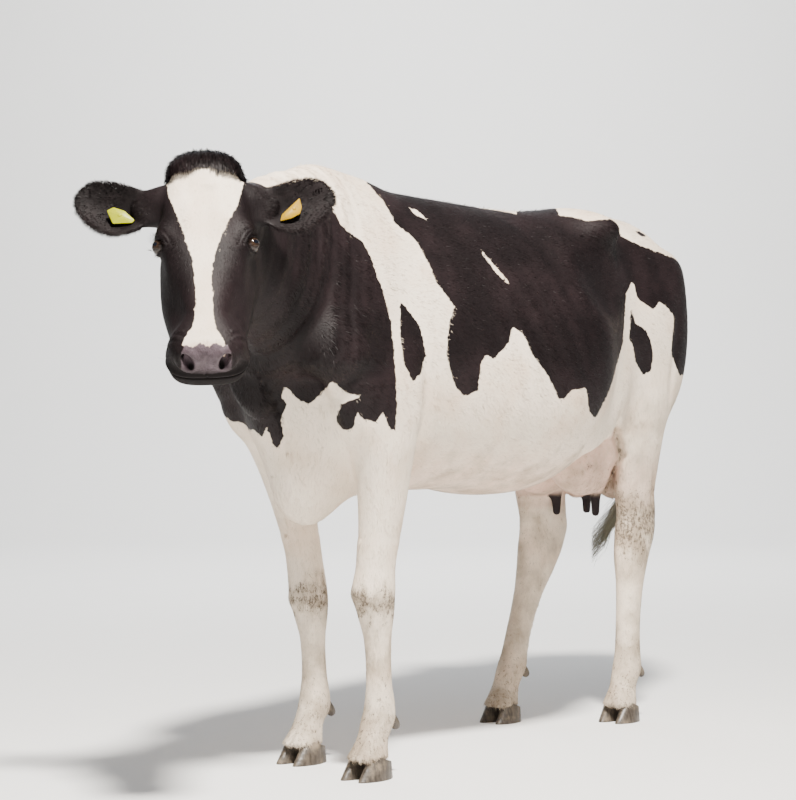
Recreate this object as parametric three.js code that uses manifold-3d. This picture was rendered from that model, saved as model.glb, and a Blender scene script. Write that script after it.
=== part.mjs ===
// A black and white dairy cow, standing on all four feet, its head turned to its left.
// Millimetres. The cow looks along -Y, its left side is +X, and the soles are at Z = 0.
//
// The flesh is one smooth body: tubes through stations along the trunk, neck, head and legs, with
// rounded masses for the muscles and bones that stand out, all blended into each other. Each node
// is a length of that body between thin straight cuts. Eyes, claws, tags and ears are made apart.
import * as THREE from "three";
import { mergeVertices } from "three/addons/utils/BufferGeometryUtils.js";
import Module from "manifold-3d";

const wasm = await Module();
wasm.setup();

// ---------------------------------------------------------------- driving dimensions
const CUT = 0.4; // clear width of each cut between two nodes
const SMALLEST_EDGE = 0.05; // anything finer that a cut leaves is joined away
const MIDDLE = [7, -152]; // X and Y of the middle of its outline, in the measures used below
const HEAD_AT = [193, -1152, 1372]; // the poll, where the head's own axes start
const HEAD_YAW = 41.5; // how far the head is turned to its left, degrees
const HEAD_SLOPE = 29; // how far the face leans forward from upright, degrees
const HEAD_ROLL = 2.2; // its left side is carried a little higher, degrees

const EYE_RADIUS = 19;
const EYE_PLACE = [168, 93, -46.5]; // down the face, to the side, out of the face

const EAR_LENGTH = 194;
const EAR_THICK = 4; // half of the ear's thickness
const EAR_ROOT = 38; // how far along the ear its own piece starts
const EAR_BASE = [47, 85, -75];

const CLAW_LENGTH = { fore: 118, hind: 110 };
const CLAW_WIDTH = 58;
const CLAW_TOE_ANGLE = 52; // the front of a claw against the floor, degrees
const CLAW_CLEFT = 4; // clear space between the two claws of a foot
const CORONET = { heel: 38, toe: 58 }; // height of a claw's upper edge behind and in front

const CLAW_SIDES = 10;
const CLAW_LEVELS = 3;
const DEWCLAW_LENGTH = 36;
const DEWCLAW_RADIUS = 13;
const DEWCLAW_APART = 19; // each dewclaw from the middle of the leg

const TAG = { thick: 2.4, pin: 3, button: 13 };
// the plate of each tag seen from the front of its ear: out along the ear, and up
const TAG_PLATE = {
  left: [[22, 30], [26, 8], [21, -8], [2, -19], [-22, -25], [-18, -10], [1, 9]],
  right: [[28, 7], [14, 14], [-10, 5], [-32, -16], [-27, -23], [14, -25]],
};
const TAG_PIN = { left: [9, 5], right: [0, -4] };
const TAG_ALONG = 94; // the tag's middle along the ear
const TAG_RISE = -16; // and above the ear's middle line
const TAG_FRONT = 9; // its flag in front of that line
const TAG_BACK = -22; // its button behind the ear

const COLOURS = {
  black: 0x1d1618,
  white: 0xeee6da,
  udder: 0xd9ab97,
  teat: 0x2b2224,
  nose: 0x4a4148,
  eye: 0x15100e,
  claw: 0x4b4237,
  tag: 0xe6cf3f,
};

// ---------------------------------------------------------------- vectors
const vec = (a) => new THREE.Vector3(...a);
const rad = THREE.MathUtils.degToRad;

// The head's axes: down the face, to its left, and out of the face.
function headAxes() {
  const yaw = rad(HEAD_YAW);
  const slope = rad(HEAD_SLOPE);
  const forward = new THREE.Vector3(Math.sin(yaw), -Math.cos(yaw), 0);
  const up = new THREE.Vector3(0, 0, 1);
  const down = up.clone().multiplyScalar(-Math.cos(slope)).addScaledVector(forward, Math.sin(slope));
  const out = forward.clone().multiplyScalar(Math.cos(slope)).addScaledVector(up, Math.sin(slope));
  const left = new THREE.Vector3(Math.cos(yaw), Math.sin(yaw), 0);
  down.applyAxisAngle(out, rad(HEAD_ROLL));
  left.applyAxisAngle(out, rad(HEAD_ROLL));
  return { down, left, out };
}
const HEAD = headAxes();
const headWay = ([u, v, w]) =>
  new THREE.Vector3().addScaledVector(HEAD.down, u).addScaledVector(HEAD.left, v).addScaledVector(HEAD.out, w);
const headPoint = (p) => headWay(p).add(vec(HEAD_AT));

// ---------------------------------------------------------------- distance to a rounded shape
// offsets and sizes along the shape's own three axes; the power makes it rounder or squarer
function roundDistance(offsets, sizes, power) {
  let sum = 0;
  let slope = 0;
  for (let i = 0; i < 3; i++) {
    const q = Math.abs(offsets[i]) / sizes[i];
    sum += q ** power;
    slope += (q ** (power - 1) / sizes[i]) ** 2;
  }
  sum = Math.max(sum, 1e-12);
  const reach = sum ** (1 / power);
  return (reach - 1) / Math.max(Math.sqrt(slope) * reach ** (1 - power), 1e-9);
}

function blend(a, b, width) {
  if (width <= 0) return Math.min(a, b);
  const h = Math.max(width - Math.abs(a - b), 0) / width;
  return Math.min(a, b) - h * h * width * 0.25;
}
const carve = (a, b, width) => -blend(-a, b, width);

// An even, smooth curve through the rows of a table, with no overshoot between them.
function curveThrough(rows) {
  const slopes = rows.map((row, i) => {
    const before = rows[Math.max(i - 1, 0)];
    const after = rows[Math.min(i + 1, rows.length - 1)];
    return row.map((value, k) => {
      const a = i > 0 ? (value - before[k]) / (row[0] - before[0]) : null;
      const b = i < rows.length - 1 ? (after[k] - value) / (after[0] - row[0]) : null;
      if (a === null) return b;
      if (b === null) return a;
      if (a * b <= 0) return 0;
      const middle = (after[k] - before[k]) / (after[0] - before[0]);
      return Math.sign(a) * Math.min(Math.abs(middle), 3 * Math.min(Math.abs(a), Math.abs(b)));
    });
  });
  return (t) => {
    let i = 0;
    while (i < rows.length - 2 && t > rows[i + 1][0]) i++;
    const h = rows[i + 1][0] - rows[i][0];
    const u = (t - rows[i][0]) / h;
    const [a, b] = [2 * u ** 3 - 3 * u * u + 1, (u ** 3 - 2 * u * u + u) * h];
    const [c, d] = [3 * u * u - 2 * u ** 3, (u ** 3 - u * u) * h];
    return rows[i].map(
      (value, k) => a * value + b * slopes[i][k] + c * rows[i + 1][k] + d * slopes[i + 1][k],
    );
  };
}

// A tube through stations along an axis. A row holds: place along the axis, shift to the side,
// half width, low edge, level of the widest part, high edge, power below it, power above it.
function tube(rows, { origin = [0, 0, 0], axis, side, caps, blendWidth = 0 }) {
  const o = vec(origin);
  const a = axis.clone().normalize();
  const b = side.clone().addScaledVector(a, -side.dot(a)).normalize();
  const c = a.clone().cross(b);
  const at = curveThrough(rows);
  const [first, last] = [rows[0][0], rows[rows.length - 1][0]];
  const q = new THREE.Vector3();
  const distance = (p) => {
    q.copy(p).sub(o);
    const t = q.dot(a);
    const held = Math.min(Math.max(t, first), last);
    const [, shift, width, low, middle, high, powerLow, powerHigh] = at(held);
    const rise = q.dot(c) - middle;
    const half = rise > 0 ? high - middle : middle - low;
    const cap = t < first ? caps[0] : caps[1];
    return roundDistance([q.dot(b) - shift, rise, t - held], [width, half, cap], rise > 0 ? powerHigh : powerLow);
  };
  return { distance, blendWidth };
}

// A rounded mass with three half sizes, the first along its axis and the second along its side.
function mass(centre, sizes, blendWidth, { axis = [0, 0, 1], side = [1, 0, 0], power = 2 } = {}) {
  const o = vec(centre);
  const a = vec(axis).normalize();
  const b = vec(side).addScaledVector(a, -vec(side).dot(a)).normalize();
  const c = a.clone().cross(b);
  const q = new THREE.Vector3();
  const distance = (p) => {
    q.copy(p).sub(o);
    return roundDistance([q.dot(a), q.dot(b), q.dot(c)], sizes, power);
  };
  return { distance, blendWidth };
}
const headMass = (place, sizes, blendWidth, power = 2) =>
  mass(headPoint(place).toArray(), sizes, blendWidth, {
    axis: HEAD.down.toArray(),
    side: HEAD.left.toArray(),
    power,
  });

// ---------------------------------------------------------------- trunk and neck
const AHEAD = new THREE.Vector3(0, 1, 0);
const RIGHT = new THREE.Vector3(-1, 0, 0);

// along Y, shift, half width, belly, level of the widest part, back, powers
const TRUNK = [
  [-760, 0, 95, 840, 1020, 1240, 2.0, 2.0],
  [-690, 0, 145, 740, 1010, 1380, 2.0, 1.9],
  [-580, 0, 205, 670, 1000, 1436, 2.0, 1.7],
  [-460, 0, 245, 655, 990, 1438, 2.0, 1.6],
  [-300, 0, 280, 665, 980, 1424, 2.1, 1.7],
  [-100, 0, 328, 665, 960, 1420, 2.2, 1.75],
  [80, 0, 356, 645, 955, 1418, 2.2, 1.75],
  [220, 0, 345, 660, 975, 1420, 2.1, 2.1],
  [370, 0, 284, 735, 1040, 1424, 2.0, 2.6],
  [520, 0, 236, 810, 1090, 1432, 2.0, 2.4],
  [700, 0, 222, 880, 1130, 1446, 2.0, 2.1],
  [820, 0, 190, 960, 1160, 1437, 2.0, 2.0],
  [890, 0, 140, 1040, 1190, 1405, 2.0, 2.0],
];
const trunkTube = tube(TRUNK, { axis: AHEAD, side: RIGHT, caps: [70, 50] });

const NECK_BASE = [0, -500, 1100];
const NECK_WAY = [260, -930, 200];
const NECK = [
  [0, 0, 130, -320, -40, 180, 2.0, 1.8],
  [200, 0, 130, -305, -20, 185, 2.0, 1.8],
  [360, 0, 115, -245, 5, 182, 2.0, 1.8],
  [500, 0, 102, -175, 20, 168, 2.0, 1.9],
  [620, 0, 95, -130, 20, 150, 2.0, 2.0],
];
const neckTube = tube(NECK, {
  origin: NECK_BASE,
  axis: vec(NECK_WAY),
  side: new THREE.Vector3(-930, -260, 0),
  caps: [160, 50],
  blendWidth: 90,
});

const trunkMasses = [];
for (const s of [1, -1]) {
  const [shoulderX, shoulderY] = s > 0 ? [165, -690] : [-140, -640];
  trunkMasses.push(
    mass([s * 135, -570, 1130], [250, 60, 120], 60, { axis: [s * 28, -60, -80] }), // shoulder blade
    mass([shoulderX, shoulderY, 985], [85, 60, 85], 60), // point of the shoulder
    mass([s * 175, -560, 900], [120, 75, s > 0 ? 150 : 125], 60), // upper arm
    mass([s * 150, 388, 1366], [46, 112, 70], 100, { side: [s * 100, 0, -14] }), // hip to hook bone
    mass([s * 135, 862, 1278], [52, 42, 60], 70), // pin bone
    mass([s * 172, 640, 1120], [250, 68, 205], 60), // thigh
    mass([s * 146, 795, 1040], [255, 58, 104], 70), // back of the thigh
    mass([s * 185, 450, 930], [140, 60, 100], 60), // stifle
    mass([s * 228, 345, 860], [105, 26, 60], 70, { axis: [0, 60, 75] }), // fold of the flank
  );
}
const brisket = mass([0, -595, 710], [120, 75, 105], 70);
const flankHollows = [1, -1].map((s) => mass([s * 315, 300, 1235], [75, 40, 85], 90));
const rumpHollows = [1, -1].map((s) => mass([s * 285, 620, 1320], [70, 45, 130], 80));
const thighCleft = mass([0, 960, 1010], [225, 40, 75], 70);

// ---------------------------------------------------------------- head
// down the face, shift, half width, back, level of the widest part, front, powers
const SKULL = [
  [0, 0, 70, -125, -55, -4, 2.6, 2.6],
  [50, 0, 88, -150, -55, 4, 2.6, 2.8],
  [110, 0, 94, -165, -55, 4, 2.6, 3.0],
  [170, 0, 94, -180, -55, 2, 2.6, 3.0],
  [230, 0, 84, -180, -55, 1, 2.6, 2.6],
  [290, 0, 65, -170, -55, 0, 2.4, 2.4],
  [350, 0, 52, -150, -55, -2, 2.4, 2.4],
  [385, 0, 52, -130, -55, -8, 2.4, 2.4],
  [415, 0, 56, -120, -60, -14, 2.4, 2.4],
];
const JAW = [
  [100, 0, 80, -190, -120, -60, 2.4, 2.2],
  [180, 0, 101, -225, -125, -40, 2.6, 2.2],
  [260, 0, 99, -225, -125, -35, 2.6, 2.0],
  [330, 0, 88, -190, -110, -35, 2.4, 2.0],
  [370, 0, 80, -155, -90, -35, 2.4, 2.0],
  [400, 0, 76, -140, -85, -30, 2.4, 2.2],
];
const headFrame = { origin: HEAD_AT, axis: HEAD.down, side: HEAD.left };
const headShapes = [
  tube(SKULL, { ...headFrame, caps: [30, 30] }),
  tube(JAW, { ...headFrame, caps: [40, 30], blendWidth: 20 }),
  headMass([-8, 0, -45], [40, 76, 56], 26, 2.8), // poll
  headMass([408, -3, -68], [48, 77, 58], 30, 3), // muzzle
  headMass([412, -3, -98], [49, 77, 40], 20, 3.4), // lips and chin
];
for (const s of [1, -1]) {
  headShapes.push(
    headMass([150, s * 84, -46], [36, 24, 32], 26), // brow and rim of the eye
    headMass([230, s * 62, -115], [90, 30, 85], 20), // cheek
    headMass([48, s * 92, -78], [44, 66, 28], 24), // root of the ear
    headMass([34, s * 78, -62], [34, 44, 26], 24), // slope from the poll to the ear
  );
}
const headHollows = [];
for (const s of [1, -1]) {
  headHollows.push(headMass([418, s * 39, -12], [21, 9, 17], 8)); // nostril
  headHollows.push(headMass([170, s * 109, -38], [17, 17, 22], 10)); // socket of the eye
}

// ---------------------------------------------------------------- legs
// height, X, Y, half width across, reach forward of Y, reach behind Y
const FORE_LEFT = [
  [920, 185, -575, 60, 125, 130],
  [800, 183, -535, 66, 95, 100],
  [700, 172, -520, 58, 72, 78],
  [600, 162, -515, 50, 60, 62],
  [500, 152, -520, 45, 52, 52],
  [440, 148, -520, 50, 60, 50],
  [385, 147, -512, 43, 50, 44],
  [320, 146, -505, 32, 36, 38],
  [220, 146, -500, 30, 34, 36],
  [165, 146, -500, 35, 38, 44],
  [135, 146, -505, 38, 42, 48],
  [95, 147, -525, 36, 40, 42],
  [50, 148, -545, 47, 54, 52],
];
const FORE_RIGHT = [
  [920, -170, -540, 58, 100, 130],
  [800, -172, -515, 62, 85, 100],
  [700, -160, -485, 56, 70, 76],
  [600, -145, -465, 48, 58, 60],
  [500, -130, -452, 43, 50, 50],
  [410, -118, -447, 46, 56, 48],
  [360, -117, -440, 41, 47, 42],
  [300, -116, -435, 31, 35, 36],
  [220, -116, -430, 30, 34, 36],
  [165, -116, -430, 35, 38, 44],
  [135, -116, -432, 38, 42, 48],
  [95, -117, -452, 36, 40, 42],
  [50, -118, -472, 47, 54, 52],
];
const HIND_LEFT = [
  [1020, 150, 650, 80, 200, 170],
  [900, 158, 640, 84, 185, 155],
  [800, 160, 640, 70, 138, 122],
  [720, 155, 655, 58, 108, 95],
  [650, 148, 672, 49, 90, 76],
  [580, 143, 686, 46, 82, 76],
  [520, 140, 680, 50, 73, 70],
  [460, 140, 665, 46, 62, 56],
  [380, 140, 655, 37, 48, 45],
  [280, 140, 645, 34, 40, 42],
  [190, 140, 640, 36, 38, 44],
  [145, 140, 635, 40, 42, 50],
  [100, 141, 615, 37, 40, 42],
  [50, 142, 595, 47, 52, 50],
];
const HIND_RIGHT = [
  [1020, -150, 650, 80, 200, 170],
  [900, -158, 632, 84, 185, 155],
  [800, -155, 622, 70, 142, 124],
  [700, -148, 620, 58, 120, 104],
  [620, -140, 625, 50, 114, 102],
  [550, -135, 625, 47, 103, 104],
  [480, -130, 600, 49, 91, 92],
  [420, -127, 570, 45, 72, 74],
  [350, -124, 530, 38, 52, 50],
  [260, -120, 480, 34, 42, 44],
  [190, -118, 450, 36, 40, 44],
  [145, -117, 430, 40, 42, 50],
  [100, -117, 405, 37, 40, 42],
  [50, -117, 382, 47, 52, 50],
];
const LEG_POWER = 2.2;
// The tube runs downwards, so its third axis points forward, along -Y.
const legTube = (table) =>
  tube(
    table.map(([z, x, y, across, ahead, behind]) => [
      -z, x, across, -y - behind, -y, -y + ahead, LEG_POWER, LEG_POWER,
    ]),
    { axis: new THREE.Vector3(0, 0, -1), side: new THREE.Vector3(1, 0, 0), caps: [30, 12], blendWidth: 50 },
  );

const udderMasses = [];
for (const s of [1, -1]) {
  udderMasses.push(
    mass([s * 70, 515, 756], [122, 78, 165], 50), // fore quarter
    mass([s * 62, 690, 790], [170, 66, 125], 30), // rear quarter
  );
}

// ---------------------------------------------------------------- the whole of the flesh
const bodyShapes = [
  trunkTube,
  neckTube,
  ...trunkMasses,
  brisket,
  ...[FORE_LEFT, FORE_RIGHT, HIND_LEFT, HIND_RIGHT].map(legTube),
  ...udderMasses,
];
const HEAD_BLEND = 50;
const together = (shapes, p) => shapes.reduce((d, s) => blend(d, s.distance(p), s.blendWidth), Infinity);
function flesh(p) {
  let body = together(bodyShapes, p);
  for (const hollow of [...flankHollows, ...rumpHollows, thighCleft]) {
    body = carve(body, hollow.distance(p), hollow.blendWidth);
  }
  let head = together(headShapes, p);
  for (const hollow of headHollows) head = carve(head, hollow.distance(p), hollow.blendWidth);
  return blend(body, head, HEAD_BLEND);
}

// ---------------------------------------------------------------- surface of the flesh in a box
// One vertex in each cell that the surface crosses, moved onto the surface along its slope.
const CORNERS = [...Array(8).keys()].map((i) => [i & 1, (i >> 1) & 1, (i >> 2) & 1]);
const EDGES = CORNERS.flatMap((_, a) => [1, 2, 4].filter((bit) => !(a & bit)).map((bit) => [a, a | bit]));
const SETTLE_STEPS = 3;
const SLOPE_STEP = 4;
const SETTLE_REACH = 0.35; // the furthest a vertex moves, as a share of the cell

function settle(p, most) {
  const from = p.clone();
  const probe = new THREE.Vector3();
  const slope = new THREE.Vector3();
  for (let step = 0; step < SETTLE_STEPS; step++) {
    for (const axis of ["x", "y", "z"]) {
      probe.copy(p);
      probe[axis] += SLOPE_STEP;
      const ahead = flesh(probe);
      probe[axis] -= 2 * SLOPE_STEP;
      slope[axis] = (ahead - flesh(probe)) / (2 * SLOPE_STEP);
    }
    p.addScaledVector(slope, -flesh(p) / Math.max(slope.lengthSq(), 0.1));
    p.sub(from).clampLength(0, most).add(from);
  }
}

function fleshMesh(low, high, cell) {
  const count = low.map((l, k) => Math.ceil((high[k] - l) / cell) + 1);
  const index = (i, j, k) => (i * count[1] + j) * count[2] + k;
  const values = new Float64Array(count[0] * count[1] * count[2]);
  const p = new THREE.Vector3();
  for (let i = 0; i < count[0]; i++) {
    for (let j = 0; j < count[1]; j++) {
      for (let k = 0; k < count[2]; k++) {
        const rim = [i, j, k].some((n, axis) => n === 0 || n === count[axis] - 1);
        p.set(low[0] + i * cell, low[1] + j * cell, low[2] + k * cell);
        values[index(i, j, k)] = rim ? Math.max(flesh(p), cell / 2) : flesh(p);
      }
    }
  }
  const vertexOf = new Map();
  const vertices = [];
  for (let i = 0; i < count[0] - 1; i++) {
    for (let j = 0; j < count[1] - 1; j++) {
      for (let k = 0; k < count[2] - 1; k++) {
        const v = CORNERS.map(([a, b, c]) => values[index(i + a, j + b, k + c)]);
        const crossing = EDGES.filter(([a, b]) => v[a] < 0 !== v[b] < 0);
        if (!crossing.length) continue;
        const mean = new THREE.Vector3();
        for (const [a, b] of crossing) {
          const t = v[a] / (v[a] - v[b]);
          mean.addScaledVector(vec(CORNERS[a]), 1 - t).addScaledVector(vec(CORNERS[b]), t);
        }
        mean.divideScalar(crossing.length).add(new THREE.Vector3(i, j, k)).multiplyScalar(cell).add(vec(low));
        vertexOf.set(index(i, j, k), vertices.length);
        vertices.push(mean);
      }
    }
  }
  const triangles = [];
  const stride = [count[1] * count[2], count[2], 1];
  for (const cellIndex of vertexOf.keys()) {
    for (let axis = 0; axis < 3; axis++) {
      const next = cellIndex + stride[axis];
      const [u, w] = [stride[(axis + 1) % 3], stride[(axis + 2) % 3]];
      if (values[cellIndex] < 0 === values[next] < 0) continue;
      const ring = [cellIndex, cellIndex - u, cellIndex - u - w, cellIndex - w].map((n) => vertexOf.get(n));
      if (ring.includes(undefined)) continue;
      if (values[cellIndex] >= 0) ring.reverse();
      const [a, b, c, d] = ring;
      const short = vertices[a].distanceTo(vertices[c]) < vertices[b].distanceTo(vertices[d]);
      triangles.push(...(short ? [a, b, c, a, c, d] : [b, c, d, b, d, a]));
    }
  }
  const boxEdge = (v) =>
    low.some((l, axis) => {
      const n = v.getComponent(axis);
      return n < l + cell || n > l + (count[axis] - 2) * cell;
    });
  vertices.filter((v) => !boxEdge(v)).forEach((v) => settle(v, cell * SETTLE_REACH));
  return solid(vertices, triangles);
}

// ---------------------------------------------------------------- closed solids
function solid(points, triangles) {
  const vertProperties = new Float32Array(points.flatMap((p) => [p.x, p.y, p.z]));
  return new wasm.Manifold(new wasm.Mesh({ numProp: 3, vertProperties, triVerts: new Uint32Array(triangles) }));
}

function solidOf(geometry, matrix) {
  const bare = geometry.clone();
  bare.deleteAttribute("normal");
  bare.deleteAttribute("uv");
  if (matrix) bare.applyMatrix4(matrix);
  const merged = mergeVertices(bare, 1e-3);
  return new wasm.Manifold(
    new wasm.Mesh({
      numProp: 3,
      vertProperties: merged.attributes.position.array,
      triVerts: new Uint32Array(merged.index.array),
    }),
  );
}

// A skin over rings of equally many points, closed at both ends by fans.
function loft(rings) {
  const n = rings[0].length;
  const points = rings.flat();
  const triangles = [];
  for (let r = 0; r < rings.length - 1; r++) {
    for (let i = 0; i < n; i++) {
      const [a, b] = [r * n + i, r * n + ((i + 1) % n)];
      triangles.push(a, b, b + n, a, b + n, a + n);
    }
  }
  const close = (ring, start, inwards) => {
    const middle = ring.reduce((m, p) => m.add(p), new THREE.Vector3()).divideScalar(n);
    points.push(middle);
    for (let i = 0; i < n; i++) {
      const [a, b] = [start + i, start + ((i + 1) % n)];
      triangles.push(points.length - 1, ...(inwards ? [b, a] : [a, b]));
    }
  };
  close(rings[0], 0, true);
  close(rings[rings.length - 1], (rings.length - 1) * n, false);
  const made = solid(points, triangles);
  return made.volume() > 0 ? made : solid(points, triangles.map((_, i, all) => all[i - (i % 3) + 2 - (i % 3)]));
}

// A convex region of space: what lies below every plane, each a point on it and its outward way.
const REACH = 4000;
function region(planes, grow = 0) {
  let block = solidOf(new THREE.BoxGeometry(REACH, REACH, REACH));
  for (const { at, out } of planes) {
    const way = vec(out).normalize();
    block = block.trimByPlane(way.clone().negate().toArray(), -(vec(at).dot(way) + grow));
  }
  return block;
}
const inside = (body, planes) => body.intersect(region(planes, -CUT / 2));
const outside = (body, planes) => body.subtract(region(planes, CUT / 2));
const largest = (body) => body.decompose().sort((a, b) => b.volume() - a.volume())[0];

// ---------------------------------------------------------------- where the cuts lie
const NECK_CUT = [{ at: [0, -650, 1300], out: [-260, 930, -450] }];
const HEAD_CUT = [{ at: headPoint([-40, 0, -118]).toArray(), out: headWay([-117, 0, -300]).toArray() }];
const MUZZLE_CUT = [{ at: headPoint([335, 0, 0]).toArray(), out: headWay([-100, 0, 12]).toArray() }];
const UDDER_CUT = [
  { at: [0, 372, 700], out: [0, -100, -35] },
  { at: [0, 0, 830], out: [0, -10, 100] },
  { at: [172, 0, 700], out: [1, 0, 0] },
  { at: [-172, 0, 700], out: [-1, 0, 0] },
];
const LEGS = {
  fore_left: { side: 1, table: FORE_LEFT, joint: 455, back: -402 },
  fore_right: { side: -1, table: FORE_RIGHT, joint: 425, back: -372 },
  hind_left: { side: 1, table: HIND_LEFT, joint: 470, front: 470 },
  hind_right: { side: -1, table: HIND_RIGHT, joint: 440, front: 425 },
};
function upperLegCut({ side, joint, back, front }) {
  const floor = { at: [0, 0, joint], out: [0, 0, -1] };
  if (back !== undefined) {
    return [
      floor,
      { at: [side * 92, 0, 0], out: [-side, 0, 0] },
      { at: [side * 240, 0, 860], out: [side * 60, 0, 100] },
      { at: [0, back, 800], out: [0, 100, 12] },
      { at: [0, -690, 760], out: [0, -100, 55] },
    ];
  }
  return [
    floor,
    { at: [side * 84, 0, 0], out: [-side, 0, 0] },
    { at: [0, front, 760], out: [0, -100, -30] },
    { at: [0, 340, 900], out: [0, -100, 35] },
    { at: [0, 0, 1085], out: [0, 12, 100] },
  ];
}

// ---------------------------------------------------------------- nodes
const cow = new THREE.Group();
cow.position.set(-MIDDLE[0], -MIDDLE[1], 0);
const group = new THREE.Group();
group.add(cow);
function add(name, body, colour, roughness = 0.75) {
  const mesh = body.simplify(SMALLEST_EDGE).getMesh();
  const geometry = new THREE.BufferGeometry();
  const points = new Float32Array(mesh.numVert * 3);
  for (let i = 0; i < mesh.numVert; i++) {
    points.set(mesh.vertProperties.subarray(i * mesh.numProp, i * mesh.numProp + 3), i * 3);
  }
  geometry.setAttribute("position", new THREE.BufferAttribute(points, 3));
  geometry.setIndex(new THREE.BufferAttribute(mesh.triVerts, 1));
  geometry.computeVertexNormals();
  const material = new THREE.MeshStandardMaterial({ color: COLOURS[colour], roughness, metalness: 0 });
  const part = new THREE.Mesh(geometry, material);
  part.name = name;
  cow.add(part);
}

// Rings round a path; a station holds X, Y, Z, half width and half depth.
function pathRings(stations, around, grow = 0) {
  const path = new THREE.CatmullRomCurve3(stations.map(([x, y, z]) => new THREE.Vector3(x, y, z)));
  return stations.map(([x, y, z, wide, deep], i) => {
    const way = path.getTangent(i / (stations.length - 1));
    const side = new THREE.Vector3(1, 0, 0).addScaledVector(way, -way.x).normalize();
    const third = way.clone().cross(side);
    return [...Array(around).keys()].map((k) => {
      const turn = (2 * Math.PI * k) / around;
      return new THREE.Vector3(x, y, z)
        .addScaledVector(side, (wide + grow) * Math.cos(turn))
        .addScaledVector(third, (deep + grow) * Math.sin(turn));
    });
  });
}

// ---- tail: down from the rump behind the left thigh, then swinging in to the right
const TAIL = [
  [0, 880, 1388, 40, 26],
  [3, 930, 1388, 36, 27],
  [16, 965, 1350, 29, 27],
  [38, 988, 1275, 24, 24],
  [58, 994, 1180, 21, 21],
  [66, 990, 1070, 19, 19],
  [54, 976, 950, 17, 17],
  [26, 964, 830, 16, 16],
  [-14, 945, 715, 15, 15],
  [-48, 930, 620, 17, 17],
  [-80, 908, 530, 20, 18],
  [-108, 890, 455, 14, 12],
  [-120, 880, 412, 6, 5],
];
const TAIL_SIDES = 10;
const TAIL_CUTS = [1075, 660];
const tailBody = loft(pathRings(TAIL, TAIL_SIDES));
const pocketRings = pathRings(TAIL, TAIL_SIDES, CUT).slice(0, 8);
pocketRings[0].forEach((p) => p.setY(p.y - CUT));
const tailPocket = loft(pocketRings);

function makeTail() {
  const between = (low, high) => [
    { at: [0, 0, high], out: [0, 0, 1] },
    { at: [0, 0, low], out: [0, 0, -1] },
  ];
  add("tail_base", inside(tailBody, between(TAIL_CUTS[0], REACH / 2 - 1)), "black");
  add("tail_middle", inside(tailBody, between(TAIL_CUTS[1], TAIL_CUTS[0])), "white");
  add("tail_switch", inside(tailBody, between(1, TAIL_CUTS[1])), "white");
}

// ---- trunk and neck
function makeTrunk() {
  let body = fleshMesh([-440, -950, 430], [440, 1100, 1560], 88);
  body = outside(body, NECK_CUT);
  for (const leg of Object.values(LEGS)) {
    const [, ...cuts] = upperLegCut(leg);
    body = outside(body, cuts);
  }
  body = outside(body, UDDER_CUT);
  add("trunk", largest(body.subtract(tailPocket)), "black");
}

function makeNeck() {
  const body = fleshMesh([-300, -1340, 740], [380, -500, 1560], 65);
  add("neck", largest(outside(inside(body, NECK_CUT), HEAD_CUT)), "black");
}

// ---- head, muzzle and eyes
const eyeBall = (s, grow = 0) => {
  const [u, v, w] = EYE_PLACE;
  const place = headPoint([u, s * v, w]);
  return solidOf(
    new THREE.SphereGeometry(EYE_RADIUS + grow, 10, 7),
    new THREE.Matrix4().setPosition(place),
  );
};

// The ear's own axes at its base: out along the ear, up across it, and out of its hollow.
function earFrame(s) {
  const along = headWay(s > 0 ? [-0.02, 1, -0.06] : [-0.06, -1, -0.06]).normalize();
  const hollow = headWay([0.15, 0, 1]);
  hollow.addScaledVector(along, -hollow.dot(along)).normalize();
  const up = headWay([-1, 0, 0]);
  up.addScaledVector(along, -up.dot(along)).addScaledVector(hollow, -up.dot(hollow)).normalize();
  const [u, v, w] = EAR_BASE;
  return { base: headPoint([u, s * v, w]), along, up, hollow };
}
const earPoint = ({ base, along, up, hollow }, t, rise, depth) =>
  base.clone().addScaledVector(along, t).addScaledVector(up, rise).addScaledVector(hollow, depth);

// along the ear, half height, shift upwards, depth of the hollow, half thickness
const EAR = [
  [0, 38, -3, 8, 22],
  [EAR_ROOT, 41, -6, 14, 16],
  [72, 52, -9, 24, 7],
  [104, 60, -7, 28, EAR_THICK],
  [134, 57, 0, 26, EAR_THICK],
  [158, 47, 9, 18, EAR_THICK],
  [174, 34, 14, 11, EAR_THICK],
  [188, 19, 16, 6, EAR_THICK],
  [EAR_LENGTH, 4, 18, 0, 2],
];
const EAR_SIDES = 12;
function earLeaf(frame) {
  return loft(
    EAR.map(([t, half, shift, cup, thick]) =>
      [...Array(EAR_SIDES).keys()].map((k) => {
        const turn = (2 * Math.PI * k) / EAR_SIDES;
        const across = Math.cos(turn);
        return earPoint(frame, t, shift + half * across, cup * (across ** 2 - 0.4) + thick * Math.sin(turn));
      }),
    ),
  );
}
const earCut = ({ base, along }, s) => [
  { at: base.clone().addScaledVector(along, EAR_ROOT + 2).toArray(), out: along.clone().negate().toArray() },
];

function makeHead() {
  let body = fleshMesh([-110, -1500, 820], [510, -960, 1500], 33);
  body = inside(body, HEAD_CUT);
  body = outside(body, MUZZLE_CUT);
  for (const s of [1, -1]) {
    body = outside(body, earCut(earFrame(s)));
    body = body.subtract(eyeBall(s, CUT));
  }
  add("head", largest(body), "black");
  const nose = fleshMesh([40, -1560, 830], [500, -1160, 1200], 25);
  add("muzzle", largest(inside(nose, MUZZLE_CUT)), "nose", 0.45);
  add("eye_left", eyeBall(1), "eye", 0.08);
  add("eye_right", eyeBall(-1), "eye", 0.08);
}

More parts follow.
